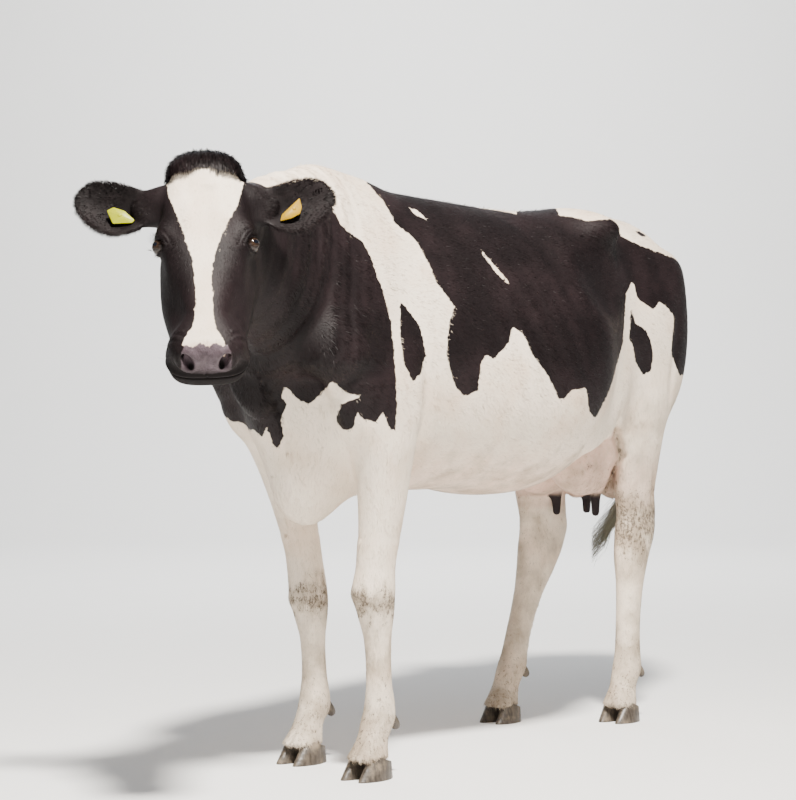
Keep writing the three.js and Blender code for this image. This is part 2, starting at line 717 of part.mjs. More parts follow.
// ---- ears with their tags
function tagSolid(frame, name, grow = 0) {
  const { thick, pin, button } = TAG;
  const [pinAlong, pinUp] = TAG_PIN[name];
  const wider = 1 + grow / 15;
  const corners = TAG_PLATE[name].map(([along, up]) => new THREE.Vector2(along * wider, up * wider));
  const outline = new THREE.Shape(corners);
  const face = solidOf(
    new THREE.ExtrudeGeometry(outline, { depth: thick + 2 * grow, bevelEnabled: false }),
    new THREE.Matrix4().makeTranslation(0, 0, TAG_FRONT - grow),
  );
  const turned = new THREE.Matrix4().makeRotationX(Math.PI / 2);
  const cylinder = (radius, back, front) =>
    solidOf(
      new THREE.CylinderGeometry(radius + grow, radius + grow, front - back + 2 * grow, 12),
      new THREE.Matrix4().makeTranslation(pinAlong, pinUp, (front + back) / 2).multiply(turned),
    );
  const whole = face
    .add(cylinder(pin, TAG_BACK, TAG_FRONT + thick / 2))
    .add(cylinder(button, TAG_BACK - thick, TAG_BACK));
  const place = new THREE.Matrix4().makeBasis(frame.along, frame.up, frame.hollow);
  place.setPosition(earPoint(frame, TAG_ALONG, TAG_RISE, 0));
  return whole.transform(place.elements);
}
function makeEar(name, s) {
  const frame = earFrame(s);
  const leaf = inside(earLeaf(frame), earCut(frame));
  add("ear_" + name, largest(leaf.subtract(tagSolid(frame, name, CUT))), "black");
  add("tag_" + name, tagSolid(frame, name), "tag", 0.45);
}

// ---- udder and teats
const TEATS = [
  [66, 590],
  [-66, 590],
  [56, 735],
  [-56, 735],
];
const TEAT = { top: 668, tip: 574, wide: 18, narrow: 13 };
function teatSolid([x, y], grow = 0) {
  const { top, tip, wide, narrow } = TEAT;
  const profile = [
    [0, tip - grow],
    [narrow * 0.7 + grow, tip + 2 - grow],
    [narrow + grow, tip + 12],
    [narrow + 2 + grow, (tip + top) / 2],
    [wide + grow, top + grow],
    [0, top + grow],
  ].map(([r, z]) => new THREE.Vector2(r, z));
  const upright = new THREE.Matrix4().makeRotationX(Math.PI / 2);
  return solidOf(
    new THREE.LatheGeometry(profile, 8),
    new THREE.Matrix4().makeTranslation(x, y, 0).multiply(upright),
  );
}
function makeUdder() {
  let body = fleshMesh([-270, 260, 520], [270, 960, 940], 58);
  body = inside(body, UDDER_CUT);
  for (const leg of [LEGS.hind_left, LEGS.hind_right]) {
    const [, ...cuts] = upperLegCut(leg);
    body = outside(body, cuts);
  }
  for (const teat of TEATS) body = body.subtract(teatSolid(teat, CUT));
  add("udder", largest(body), "udder", 0.6);
  TEATS.forEach((teat, i) => {
    const name = (i < 2 ? "fore" : "hind") + (teat[0] > 0 ? "_left" : "_right");
    add("teat_" + name, teatSolid(teat), "teat", 0.6);
  });
}

// ---- claws: two to a foot, each a wedge with a flat sole, and two dewclaws behind the fetlock
const clawReach = (length, height) => ({
  front: length * 0.55 - height / Math.tan(rad(CLAW_TOE_ANGLE)),
  rear: -length * 0.45 + height * 0.18,
});
function clawSolid(x, y, half, side, length) {
  const rings = [];
  for (let level = 0; level < CLAW_LEVELS; level++) {
    const share = level / (CLAW_LEVELS - 1);
    rings.push(
      [...Array(CLAW_SIDES).keys()].map((k) => {
        const turn = (2 * Math.PI * k) / CLAW_SIDES;
        const ahead = (1 + Math.cos(turn)) / 2;
        const height = share * THREE.MathUtils.lerp(CORONET.heel, CORONET.toe, ahead);
        const { front, rear } = clawReach(length, height);
        const taper = 1 - 0.1 * share - 0.28 * ahead ** 3;
        const bulge = Math.sin(turn) * side > 0 ? 1 : 0.82;
        return new THREE.Vector3(
          x + half * taper * bulge * Math.sin(turn),
          y - THREE.MathUtils.lerp(rear, front, ahead),
          height,
        );
      }),
    );
  }
  return loft(rings);
}
function dewclawSolid(x, y, z, side, grow = 0) {
  const way = new THREE.Vector3(side * 0.25, 0.5, -0.8).normalize();
  const profile = [
    [0, -DEWCLAW_LENGTH / 2 - grow],
    [DEWCLAW_RADIUS + grow, -DEWCLAW_LENGTH / 2 - grow],
    [DEWCLAW_RADIUS + grow, 0],
    [DEWCLAW_RADIUS * 0.7 + grow, DEWCLAW_LENGTH * 0.38],
    [0, DEWCLAW_LENGTH / 2 + grow],
  ].map(([r, h]) => new THREE.Vector2(r, h));
  const turned = new THREE.Quaternion().setFromUnitVectors(new THREE.Vector3(0, 1, 0), way);
  const place = new THREE.Matrix4().compose(new THREE.Vector3(x, y, z), turned, new THREE.Vector3(1, 1, 1));
  return solidOf(new THREE.LatheGeometry(profile, 6), place);
}

// The foot's plane, just above the claws: it slopes from the heel up to the toe.
function footCut(y, length) {
  const heel = clawReach(length, CORONET.heel).rear;
  const toe = clawReach(length, CORONET.toe).front;
  const slope = (CORONET.toe - CORONET.heel) / (toe - heel);
  return [{ at: [0, y - heel, CORONET.heel + CUT / 2], out: [0, slope, 1] }];
}
function makeLeg(name, leg) {
  const { table, side, joint } = leg;
  const part = name.split("_")[0];
  const low = (axis) => Math.min(...table.map((row) => row[axis] - 1));
  const upper = fleshMesh(
    part === "fore" ? [side > 0 ? 40 : -340, -820, joint - 60] : [side > 0 ? 30 : -360, 200, joint - 70],
    part === "fore" ? [side > 0 ? 340 : -40, -280, 960] : [side > 0 ? 360 : -30, 1010, 1180],
    part === "fore" ? 50 : 60,
  );
  add("leg_" + name + "_upper", largest(inside(upper, upperLegCut(leg))), "white");
  const shin = table.filter(([z]) => z < joint + 60);
  const [xs, ys] = [shin.map((row) => row[1]), shin.map((row) => row[2])];
  let lower = fleshMesh(
    [Math.min(...xs) - 90, Math.min(...ys) - 120, -20],
    [Math.max(...xs) + 90, Math.max(...ys) + 130, joint + 50],
    36,
  );
  lower = inside(lower, [{ at: [0, 0, joint], out: [0, 0, 1] }]);
  const [fetlockZ, fetlockX, fetlockY, , , behind] = table[table.length - 3];
  const [, footX, footY] = table[table.length - 1];
  lower = outside(lower, footCut(footY, CLAW_LENGTH[part]));
  for (const s of [1, -1]) {
    const place = [fetlockX + s * DEWCLAW_APART, fetlockY + behind - 9, fetlockZ - 12, s];
    lower = lower.subtract(dewclawSolid(...place, CUT));
    const inner = s === side ? "outer" : "inner";
    add("dewclaw_" + name + "_" + inner, dewclawSolid(...place), "claw", 0.5);
    const half = CLAW_WIDTH / 2;
    const claw = clawSolid(footX + s * (half * 0.82 + CLAW_CLEFT / 2), footY, half, s, CLAW_LENGTH[part]);
    add("claw_" + name + "_" + inner, claw, "claw", 0.5);
  }
  add("leg_" + name + "_lower", largest(lower), "white");
}

makeTrunk();
makeNeck();
makeHead();
makeEar("left", 1);
makeEar("right", -1);
makeUdder();
for (const [name, leg] of Object.entries(LEGS)) makeLeg(name, leg);
makeTail();

export default group;
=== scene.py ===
"""A life-size Holstein-Friesian cow: one skin, its short coat, eyes, claws, teats and ear tags.

Lengths are in millimetres in the cow's own measures until they go into a mesh, except where a name
says otherwise. The cow faces -Y, its left side is +X, and the floor is Z = 0.
"""

import math

import bmesh
import bpy
import numpy as np
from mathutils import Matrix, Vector


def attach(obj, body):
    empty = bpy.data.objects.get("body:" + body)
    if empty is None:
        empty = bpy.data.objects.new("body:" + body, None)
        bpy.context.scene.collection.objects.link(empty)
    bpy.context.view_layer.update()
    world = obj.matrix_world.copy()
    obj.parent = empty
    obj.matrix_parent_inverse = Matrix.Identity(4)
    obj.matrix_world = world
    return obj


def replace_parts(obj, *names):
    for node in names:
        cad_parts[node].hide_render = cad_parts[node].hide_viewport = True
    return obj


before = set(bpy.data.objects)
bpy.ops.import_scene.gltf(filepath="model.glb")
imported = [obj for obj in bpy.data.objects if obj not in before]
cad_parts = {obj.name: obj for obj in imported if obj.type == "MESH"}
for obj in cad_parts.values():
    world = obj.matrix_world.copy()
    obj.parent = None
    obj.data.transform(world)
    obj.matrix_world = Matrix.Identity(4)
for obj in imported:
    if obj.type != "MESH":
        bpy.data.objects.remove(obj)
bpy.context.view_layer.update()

RNG = np.random.default_rng(11)
MIDDLE = np.array([7.0, -152.0, 0.0])  # the middle of the outline, as in the solids

# ---------------------------------------------------------------- camera
CAMERA_AT = (3.011, -3.952, 0.820)
CAMERA_AZIMUTH = 37.99
CAMERA_PITCH = 0.897
CAMERA_LENS = 87.03
CAMERA_SENSOR = 36


def add_camera():
    data = bpy.data.cameras.new("camera")
    data.lens = CAMERA_LENS
    data.sensor_width = CAMERA_SENSOR
    camera = bpy.data.objects.new("camera", data)
    camera.location = CAMERA_AT
    camera.rotation_euler = (
        math.radians(90 + CAMERA_PITCH),
        0,
        math.radians(CAMERA_AZIMUTH),
    )
    bpy.context.scene.collection.objects.link(camera)
    bpy.context.scene.camera = camera


add_camera()

# ---------------------------------------------------------------- head axes
HEAD_AT = np.array([193.0, -1152.0, 1372.0])
HEAD_YAW = 41.5
HEAD_SLOPE = 29
HEAD_ROLL = 2.2
EYE_RADIUS = 19.0
EYE_PLACE = (168.0, 93.0, -46.5)
EAR_BASE = (47.0, 85.0, -75.0)


def unit(v):
    v = np.asarray(v, float)
    return v / np.linalg.norm(v)


def unit_rows(v):
    return v / np.linalg.norm(v, axis=1, keepdims=True)


def turned(v, axis, degrees):
    c, s = math.cos(math.radians(degrees)), math.sin(math.radians(degrees))
    return v * c + np.cross(axis, v) * s + axis * np.dot(axis, v) * (1 - c)


def head_axes():
    yaw, slope = math.radians(HEAD_YAW), math.radians(HEAD_SLOPE)
    forward = np.array([math.sin(yaw), -math.cos(yaw), 0])
    up = np.array([0.0, 0.0, 1.0])
    down = -up * math.cos(slope) + forward * math.sin(slope)
    out = forward * math.cos(slope) + up * math.sin(slope)
    left = np.array([math.cos(yaw), math.sin(yaw), 0])
    return turned(down, out, HEAD_ROLL), turned(left, out, HEAD_ROLL), out


HEAD_DOWN, HEAD_LEFT, HEAD_OUT = head_axes()


def head_way(u, v, w):
    return HEAD_DOWN * u + HEAD_LEFT * v + HEAD_OUT * w


def head_point(u, v, w):
    return HEAD_AT + head_way(u, v, w)


def in_head(points):
    q = points - HEAD_AT
    return q @ HEAD_DOWN, q @ HEAD_LEFT, q @ HEAD_OUT


def is_head(points):
    """Which points lie before the seam of the head and the neck."""
    u, v, w = in_head(points)
    return ((w * 0.932 + u * 0.364) > -205) & (u < 540) & (w > -300) & (np.abs(v) < 330)


# ---------------------------------------------------------------- rounded shapes
def hill(x, middle, spread):
    """A bell curve, 1 high at its middle."""
    return np.exp(-(((x - middle) / spread) ** 2))


def bump_up(x, low, high):
    t = np.clip((x - low) / (high - low), 0, 1)
    return t * t * (3 - 2 * t)


def blend(a, b, width):
    if width <= 0:
        return np.minimum(a, b)
    h = np.maximum(width - np.abs(a - b), 0) / width
    return np.minimum(a, b) - h * h * width * 0.25


def carve(a, b, width):
    return -blend(-a, b, width)


def round_distance(offsets, sizes, power):
    q = [np.abs(o) / s for o, s in zip(offsets, sizes)]
    reach = np.maximum(sum(v**power for v in q), 1e-12) ** (1 / power)
    slope = np.sqrt(sum((v ** (power - 1) / s) ** 2 for v, s in zip(q, sizes)))
    return (reach - 1) / np.maximum(slope * reach ** (1 - power), 1e-9)


def curve_table(rows, count):
    """The rows of a table joined by an even curve with no overshoot, at evenly spaced places."""
    r = np.array(rows, float)
    t = r[:, 0]
    steps = np.diff(r, axis=0) / np.diff(t)[:, None]
    slopes = np.zeros_like(r)
    slopes[0], slopes[-1] = steps[0], steps[-1]
    for i in range(1, len(t) - 1):
        a, b = steps[i - 1], steps[i]
        middle = (r[i + 1] - r[i - 1]) / (t[i + 1] - t[i - 1])
        most = 3 * np.minimum(np.abs(a), np.abs(b))
        slopes[i] = np.where(a * b > 0, np.sign(a) * np.minimum(np.abs(middle), most), 0)
    at = np.linspace(t[0], t[-1], count)
    k = np.clip(np.searchsorted(t, at, "right") - 1, 0, len(t) - 2)
    h = (t[k + 1] - t[k])[:, None]
    u = (at - t[k])[:, None] / h
    return (
        (2 * u**3 - 3 * u * u + 1) * r[k]
        + (u**3 - 2 * u * u + u) * h * slopes[k]
        + (3 * u * u - 2 * u**3) * r[k + 1]
        + (u**3 - u * u) * h * slopes[k + 1]
    )


class Tube:
    """A row holds: place, shift to the side, half width, low, widest level, high, two powers."""

    def __init__(self, rows, origin, axis, side, caps, width=0):
        self.o = np.array(origin, float)
        self.a = unit(axis)
        self.b = unit(np.array(side, float) - self.a * np.dot(side, self.a))
        self.c = np.cross(self.a, self.b)
        self.caps, self.width = caps, width
        self.f = curve_table(rows, 200)
        self.t = self.f[:, 0]
        middle = self.o + np.outer(self.t, self.a) + np.outer(self.f[:, 1], self.b)
        middle = middle + np.outer(self.f[:, 4], self.c)
        reach = np.hypot(self.f[:, 2], np.maximum(self.f[:, 5] - self.f[:, 4], self.f[:, 4] - self.f[:, 3]))
        self.low = (middle - reach[:, None]).min(0) - max(caps)
        self.high = (middle + reach[:, None]).max(0) + max(caps)

    def __call__(self, points):
        q = points - self.o
        t = q @ self.a
        held = np.clip(t, self.t[0], self.t[-1])
        shift, wide, low, level, high, power_low, power_high = (
            np.interp(held, self.t, self.f[:, i]) for i in range(1, 8)
        )
        rise = q @ self.c - level
        half = np.where(rise > 0, high - level, level - low)
        power = np.where(rise > 0, power_high, power_low)
        cap = np.where(t < self.t[0], self.caps[0], self.caps[1])
        return round_distance([q @ self.b - shift, rise, t - held], [wide, half, cap], power)


class Mass:
    def __init__(self, centre, sizes, width, axis=(0, 0, 1), side=(1, 0, 0), power=2.0):
        self.o, self.sizes, self.width, self.power = np.array(centre, float), sizes, width, power
        self.a = unit(axis)
        self.b = unit(np.array(side, float) - self.a * np.dot(side, self.a))
        self.c = np.cross(self.a, self.b)
        reach = max(sizes) * 1.2
        self.low, self.high = self.o - reach, self.o + reach

    def __call__(self, points):
        q = points - self.o
        return round_distance([q @ self.a, q @ self.b, q @ self.c], self.sizes, self.power)


def head_mass(place, sizes, width, power=2.0):
    return Mass(head_point(*place), sizes, width, HEAD_DOWN, HEAD_LEFT, power)


class Path:
    """A round rod along a smooth path; a station holds X, Y, Z and two half widths."""

    def __init__(self, stations, width):
        table = curve_table([(i, *s) for i, s in enumerate(stations)], 90)
        self.p, self.r, self.width = table[:, 1:4], table[:, 4:6].mean(1), width
        self.low, self.high = self.p.min(0) - 45, self.p.max(0) + 45

    def __call__(self, points):
        best = np.full(len(points), 1e9)
        for a, b, ra, rb in zip(self.p[:-1], self.p[1:], self.r[:-1], self.r[1:]):
            way = b - a
            t = np.clip(((points - a) @ way) / (way @ way), 0, 1)
            reach = np.linalg.norm(points - a - t[:, None] * way, axis=1)
            best = np.minimum(best, reach - (ra + (rb - ra) * t))
        return best


class Leaf:
    """An ear: a row holds place along it, half height, shift up, depth of the hollow, half thickness."""

    def __init__(self, rows, side, width):
        along = unit(head_way(-0.02, 1, -0.06) if side > 0 else head_way(-0.06, -1, -0.06))
        hollow = head_way(0.15, 0, 1)
        hollow = unit(hollow - along * np.dot(hollow, along))
        up = head_way(-1, 0, 0)
        up = unit(up - along * np.dot(up, along) - hollow * np.dot(up, hollow))
        self.base = head_point(EAR_BASE[0], side * EAR_BASE[1], EAR_BASE[2])
        self.a, self.b, self.c = along, up, hollow
        self.f, self.width = curve_table(rows, 120), width
        self.t = self.f[:, 0]
        middle = self.base + np.outer([0, 200], along)
        self.low, self.high = middle.min(0) - 90, middle.max(0) + 90

    def local(self, points):
        q = points - self.base
        return q @ self.a, q @ self.b, q @ self.c

    def rows_at(self, t):
        return [np.interp(t, self.t, self.f[:, i]) for i in range(1, 5)]

    def point(self, t, across, lift):
        half, shift, cup, _ = self.rows_at(t)
        depth = cup * (across**2 - 0.4) + lift
        rise = shift + half * across
        return self.base + np.outer(t, self.a) + np.outer(rise, self.b) + np.outer(depth, self.c)

    def __call__(self, points):
        t, rise, depth = self.local(points)
        held = np.clip(t, self.t[0], self.t[-1])
        half, shift, cup, thick = self.rows_at(held)
        across = (rise - shift) / half
        sheet = depth - cup * (np.clip(across, -1.2, 1.2) ** 2 - 0.4)
        return round_distance([rise - shift, sheet, t - held], [half, thick, 12.0], 2.4)


# ---------------------------------------------------------------- the flesh, as in the solids
TRUNK = [
    (-760, 0, 95, 840, 1020, 1240, 2.0, 2.0),
    (-690, 0, 145, 740, 1010, 1380, 2.0, 1.9),
    (-580, 0, 205, 670, 1000, 1436, 2.0, 1.7),
    (-460, 0, 245, 655, 990, 1438, 2.0, 1.6),
    (-300, 0, 280, 665, 980, 1424, 2.1, 1.7),
    (-100, 0, 328, 665, 960, 1420, 2.2, 1.75),
    (80, 0, 356, 645, 955, 1418, 2.2, 1.75),
    (220, 0, 345, 660, 975, 1420, 2.1, 2.1),
    (370, 0, 284, 735, 1040, 1424, 2.0, 2.6),
    (520, 0, 236, 810, 1090, 1432, 2.0, 2.4),
    (700, 0, 222, 880, 1130, 1446, 2.0, 2.1),
    (820, 0, 190, 960, 1160, 1437, 2.0, 2.0),
    (890, 0, 140, 1040, 1190, 1405, 2.0, 2.0),
]
NECK_BASE = np.array([0.0, -500.0, 1100.0])
NECK_WAY = (260, -930, 200)
NECK = [
    (0, 0, 130, -320, -40, 180, 2.0, 1.8),
    (200, 0, 130, -305, -20, 185, 2.0, 1.8),
    (360, 0, 115, -245, 5, 182, 2.0, 1.8),
    (500, 0, 102, -175, 20, 168, 2.0, 1.9),
    (620, 0, 95, -130, 20, 150, 2.0, 2.0),
]
SKULL = [
    (0, 0, 70, -125, -55, -4, 2.6, 2.6),
    (50, 0, 88, -150, -55, 4, 2.6, 2.8),
    (110, 0, 94, -165, -55, 4, 2.6, 3.0),
    (170, 0, 94, -180, -55, 2, 2.6, 3.0),
    (230, 0, 84, -180, -55, 1, 2.6, 2.6),
    (290, 0, 65, -170, -55, 0, 2.4, 2.4),
    (350, 0, 52, -150, -55, -2, 2.4, 2.4),
    (385, 0, 52, -130, -55, -8, 2.4, 2.4),
    (415, 0, 56, -120, -60, -14, 2.4, 2.4),
]
JAW = [
    (100, 0, 80, -190, -120, -60, 2.4, 2.2),
    (180, 0, 101, -225, -125, -40, 2.6, 2.2),
    (260, 0, 99, -225, -125, -35, 2.6, 2.0),
    (330, 0, 88, -190, -110, -35, 2.4, 2.0),
    (370, 0, 80, -155, -90, -35, 2.4, 2.0),
    (400, 0, 76, -140, -85, -30, 2.4, 2.2),
]
FORE_LEFT = [
    (920, 185, -575, 60, 125, 130),
    (800, 183, -535, 66, 95, 100),
    (700, 172, -520, 58, 72, 78),
    (600, 162, -515, 50, 60, 62),
    (500, 152, -520, 45, 52, 52),
    (440, 148, -520, 50, 60, 50),
    (385, 147, -512, 43, 50, 44),
    (320, 146, -505, 32, 36, 38),
    (220, 146, -500, 30, 34, 36),
    (165, 146, -500, 35, 38, 44),
    (135, 146, -505, 38, 42, 48),
    (95, 147, -525, 36, 40, 42),
    (50, 148, -545, 47, 54, 52),
]
FORE_RIGHT = [
    (920, -170, -540, 58, 100, 130),
    (800, -172, -515, 62, 85, 100),
    (700, -160, -485, 56, 70, 76),
    (600, -145, -465, 48, 58, 60),
    (500, -130, -452, 43, 50, 50),
    (410, -118, -447, 46, 56, 48),
    (360, -117, -440, 41, 47, 42),
    (300, -116, -435, 31, 35, 36),
    (220, -116, -430, 30, 34, 36),
    (165, -116, -430, 35, 38, 44),
    (135, -116, -432, 38, 42, 48),
    (95, -117, -452, 36, 40, 42),
    (50, -118, -472, 47, 54, 52),
]
HIND_LEFT = [
    (1020, 150, 650, 80, 200, 170),
    (900, 158, 640, 84, 185, 155),
    (800, 160, 640, 70, 138, 122),
    (720, 155, 655, 58, 108, 95),
    (650, 148, 672, 49, 90, 76),
    (580, 143, 686, 46, 82, 76),
    (520, 140, 680, 50, 73, 70),
    (460, 140, 665, 46, 62, 56),
    (380, 140, 655, 37, 48, 45),
    (280, 140, 645, 34, 40, 42),
    (190, 140, 640, 36, 38, 44),
    (145, 140, 635, 40, 42, 50),
    (100, 141, 615, 37, 40, 42),
    (50, 142, 595, 47, 52, 50),
]
HIND_RIGHT = [
    (1020, -150, 650, 80, 200, 170),
    (900, -158, 632, 84, 185, 155),
    (800, -155, 622, 70, 142, 124),
    (700, -148, 620, 58, 120, 104),
    (620, -140, 625, 50, 114, 102),
    (550, -135, 625, 47, 103, 104),
    (480, -130, 600, 49, 91, 92),
    (420, -127, 570, 45, 72, 74),
    (350, -124, 530, 38, 52, 50),
    (260, -120, 480, 34, 42, 44),
    (190, -118, 450, 36, 40, 44),
    (145, -117, 430, 40, 42, 50),
    (100, -117, 405, 37, 40, 42),
    (50, -117, 382, 47, 52, 50),
]
LEGS = {
    "fore_left": (FORE_LEFT, 1),
    "fore_right": (FORE_RIGHT, -1),
    "hind_left": (HIND_LEFT, 1),
    "hind_right": (HIND_RIGHT, -1),
}
EAR = [
    (0, 38, -3, 8, 21),
    (38, 41, -6, 14, 14),
    (72, 52, -9, 24, 6),
    (104, 60, -7, 28, 3.4),
    (134, 57, 0, 26, 3.2),
    (158, 47, 9, 18, 3.2),
    (172, 35, 14, 11, 3.2),
    (180, 23, 16, 8, 3.2),
]
TAIL = [
    (0, 880, 1388, 34, 26),
    (3, 930, 1388, 33, 27),
    (16, 965, 1350, 26, 24),
    (38, 988, 1275, 21, 21),
    (58, 994, 1180, 18, 18),
    (66, 990, 1070, 16, 16),
    (54, 976, 950, 14, 14),
    (26, 964, 830, 13, 13),
    (-14, 945, 715, 12, 12),
    (-40, 934, 640, 10, 10),
    (-56, 926, 590, 6, 6),
]
TEATS = [(66, 590), (-66, 590), (56, 735), (-56, 735)]
TEAT_TOP, TEAT_TIP, TEAT_WIDE, TEAT_NARROW = 690, 574, 20, 14


def leg_tube(table):
    rows = [(-z, x, across, -y - back, -y, -y + ahead, 2.2, 2.2) for z, x, y, across, ahead, back in table]
    return Tube(rows, (0, 0, 0), (0, 0, -1), (1, 0, 0), (30, 12), 28)


def trunk_masses():
    shapes = []
    for s in (1, -1):
        shoulder_x, shoulder_y = (165, -690) if s > 0 else (-140, -640)
        shapes += [
            Mass((s * 135, -570, 1130), (250, 60, 120), 60, axis=(s * 28, -60, -80)),
            Mass((shoulder_x, shoulder_y, 985), (85, 60, 85), 60),
            Mass((s * 175, -560, 900), (120, 75, 150 if s > 0 else 125), 60),
            Mass((s * 150, 388, 1366), (46, 112, 70), 100, side=(s * 100, 0, -14)),
            Mass((s * 135, 862, 1278), (52, 42, 60), 70),
            Mass((s * 172, 640, 1120), (250, 68, 205), 60),
            Mass((s * 146, 790, 1055), (235, 58, 102), 110),
            Mass((s * 185, 450, 930), (140, 60, 100), 60),
            Mass((s * 228, 345, 860), (105, 26, 60), 70, axis=(0, 60, 75)),
        ]
    return shapes


UDDER = []
for side in (1, -1):
    UDDER.append(Mass((side * 70, 515, 756), (122, 78, 165), 50))
    UDDER.append(Mass((side * 62, 690, 790), (170, 66, 125), 30))

BODY = [
    Tube(TRUNK, (0, 0, 0), (0, 1, 0), (-1, 0, 0), (70, 50)),
    Tube(NECK, NECK_BASE, NECK_WAY, (-930, -260, 0), (160, 50), 90),
    *trunk_masses(),
    Mass((0, -595, 710), (120, 75, 105), 70),
    *[leg_tube(table) for table, _ in LEGS.values()],
    *UDDER,
]
TAIL_ROD = Path(TAIL, 40)
for x, y in TEATS:
    rows = [
        (-TEAT_TOP, x, TEAT_WIDE + 4, -y - TEAT_WIDE - 4, -y, -y + TEAT_WIDE + 4, 2, 2),
        (-TEAT_TOP + 45, x, TEAT_WIDE - 1, -y - TEAT_WIDE + 1, -y, -y + TEAT_WIDE - 1, 2, 2),
        (-TEAT_TIP - 10, x, TEAT_NARROW, -y - TEAT_NARROW, -y, -y + TEAT_NARROW, 2, 2),
    ]
    BODY.append(Tube(rows, (0, 0, 0), (0, 0, -1), (1, 0, 0), (5, 12), 22))
HOLLOWS = []
for side in (1, -1):
    HOLLOWS.append(Mass((side * 315, 300, 1235), (75, 40, 85), 90))
    HOLLOWS.append(Mass((side * 285, 620, 1320), (70, 45, 130), 80))
HOLLOWS.append(Mass((0, 960, 1010), (225, 40, 75), 70))

head_frame = {"origin": HEAD_AT, "axis": HEAD_DOWN, "side": HEAD_LEFT}
HEAD = [
    Tube(SKULL, caps=(30, 30), **head_frame),
    Tube(JAW, caps=(40, 30), width=20, **head_frame),
    head_mass((-12, 0, -45), (46, 75, 56), 26, 2.4),
    head_mass((408, -3, -68), (48, 77, 58), 30, 3),
    head_mass((412, -3, -98), (49, 77, 40), 20, 3.4),
]
for side in (1, -1):
    HEAD += [
        head_mass((150, side * 84, -46), (36, 24, 32), 26),
        head_mass((230, side * 62, -115), (90, 30, 85), 20),
        head_mass((48, side * 92, -78), (44, 66, 28), 24),
        head_mass((34, side * 78, -62), (34, 44, 26), 24),
    ]
EARS = {1: Leaf(EAR, 1, 14), -1: Leaf(EAR, -1, 14)}

# The eye's own ways: out of the head, forwards along the lids, and down across them.
EYE_TILT = 24
EYE_OUT = 50


def eye_ways(side):
    a, t = math.radians(EYE_OUT), math.radians(EYE_TILT)
    out = head_way(-0.08, side * math.sin(a), math.cos(a))
    out = unit(out)
    ahead = head_way(0, -side * math.cos(a), math.sin(a))
    ahead = unit(ahead - out * np.dot(ahead, out))
    down = head_way(1, 0, 0)
    down = unit(down - out * np.dot(down, out) - ahead * np.dot(down, ahead))
    return out, ahead * math.cos(t) + down * math.sin(t), down * math.cos(t) - ahead * math.sin(t)


def eye_centre(side):
    return head_point(EYE_PLACE[0], side * EYE_PLACE[1], EYE_PLACE[2])


LID_LENGTH, LID_HEIGHT = 25.0, 15.5


def lid_gap(points, side):
    """Distance outside the almond between the lids, its depth, and the distance to the eye's middle."""
    out, along, across = eye_ways(side)
    q = points - eye_centre(side)
    a, b, c = q @ along, q @ across, q @ out
    upper = b < 0
    height = LID_HEIGHT * np.where(upper, 1.05, 0.9)
    gap = np.abs(b) - height * (1 - (a / LID_LENGTH) ** 2)
    gap /= np.sqrt(1 + (2 * height * a / LID_LENGTH**2) ** 2)
    return gap, b, c, np.linalg.norm(q, axis=1)


def with_eyes(points, d):
    for side in (1, -1):
        near = np.linalg.norm(points - eye_centre(side), axis=1) < 75
        if not near.any():
            continue
        gap, b, c, reach = lid_gap(points[near], side)
        lid = carve(reach - 22.5, gap, 2)
        hollow = np.maximum(gap, 5 - c)
        part = blend(d[near], np.where(c > -5, lid, 60.0), 9)
        part = carve(part, hollow, 2)
        rim = np.hypot(gap, reach - 20.8) - 2.2
        part = blend(part, np.where(c > 4, rim, 60.0), 3)
        fold = hill(gap, 8, 2.2) * (b < 2) + 0.7 * hill(gap, 15, 2.6) * (b < 2)
        fold += 0.6 * hill(gap, 7, 2.0) * (b > 2)
        d[near] = part + 1.5 * fold * (c > -8)
    return d


NOSTRILS = []
for side in (1, -1):
    way = head_way(-0.62, side * 0.34, 0.70)
    across = head_way(0.2, -1, 0) * side
    NOSTRILS.append(Mass(head_point(450, side * 36 - 4, -41), (22, 9, 17), 6, way, across))
    NOSTRILS.append(Mass(head_point(434, side * 47 - 4, -31), (11, 6, 12), 6, way, across))


def mouth_level(u):
    return -118 + (u - 355) * 30 / 107


def head_relief(points):
    u, v, w = in_head(points)
    mouth = 5.5 * hill(w - mouth_level(u), 0, 3.0) * np.clip((u - 350) / 30, 0, 1)
    mouth *= np.clip((w + 150) / 20, 0, 1)
    lip = -2.5 * hill(w - mouth_level(u) - 10, 0, 7.0) * np.clip((u - 380) / 30, 0, 1)
    philtrum = 2.2 * hill(v, -4, 3.0) * np.clip((u - 440) / 15, 0, 1) * (w > mouth_level(u))
    wing = 0.0
    for s in (1, -1):
        ring = np.linalg.norm(np.stack([(u - 448) / 1.25, v + 4 - s * 38, (w + 39) / 1.1]), axis=0)
        wing = wing - 3.0 * hill(ring, 21, 6.0)
    crest = 0.0
    for s in (1, -1):
        line = np.hypot(v - s * (66 - (u - 205) * 0.1), (w + 52) * 0.7)
        crest = crest - 3.5 * hill(line, 0, 13) * hill(u, 260, 62)
        line = np.hypot(v - s * 38, w - 2)
        crest = crest - 3.0 * hill(line, 0, 16) * hill(u, 120, 45)
    forehead = 3.0 * hill(v, 0, 20) * hill(u, 150, 55) * (w > -40)
    nose = np.clip((u - 320) / 50, 0, 1)
    folds = 1.1 * np.sin(u / 3.3 + 0.02 * v * v / 10) * hill(u, 402, 12) * (np.abs(v) > 48)
    return mouth + lip + philtrum + wing * nose + crest + forehead + folds


# The line where the thigh lies over the udder: its height, and its place across an oblique plane.
FOLD = [(666, 456), (722, 467), (747, 479), (830, 453), (882, 436)]


def beside_fold(points):
    """Distance behind the line between the udder and the thigh; negative on the udder's side."""
    line = np.interp(points[:, 2], [z for z, _ in FOLD], [r for _, r in FOLD])
    return 0.788 * np.abs(points[:, 0]) + 0.6155 * points[:, 1] - line




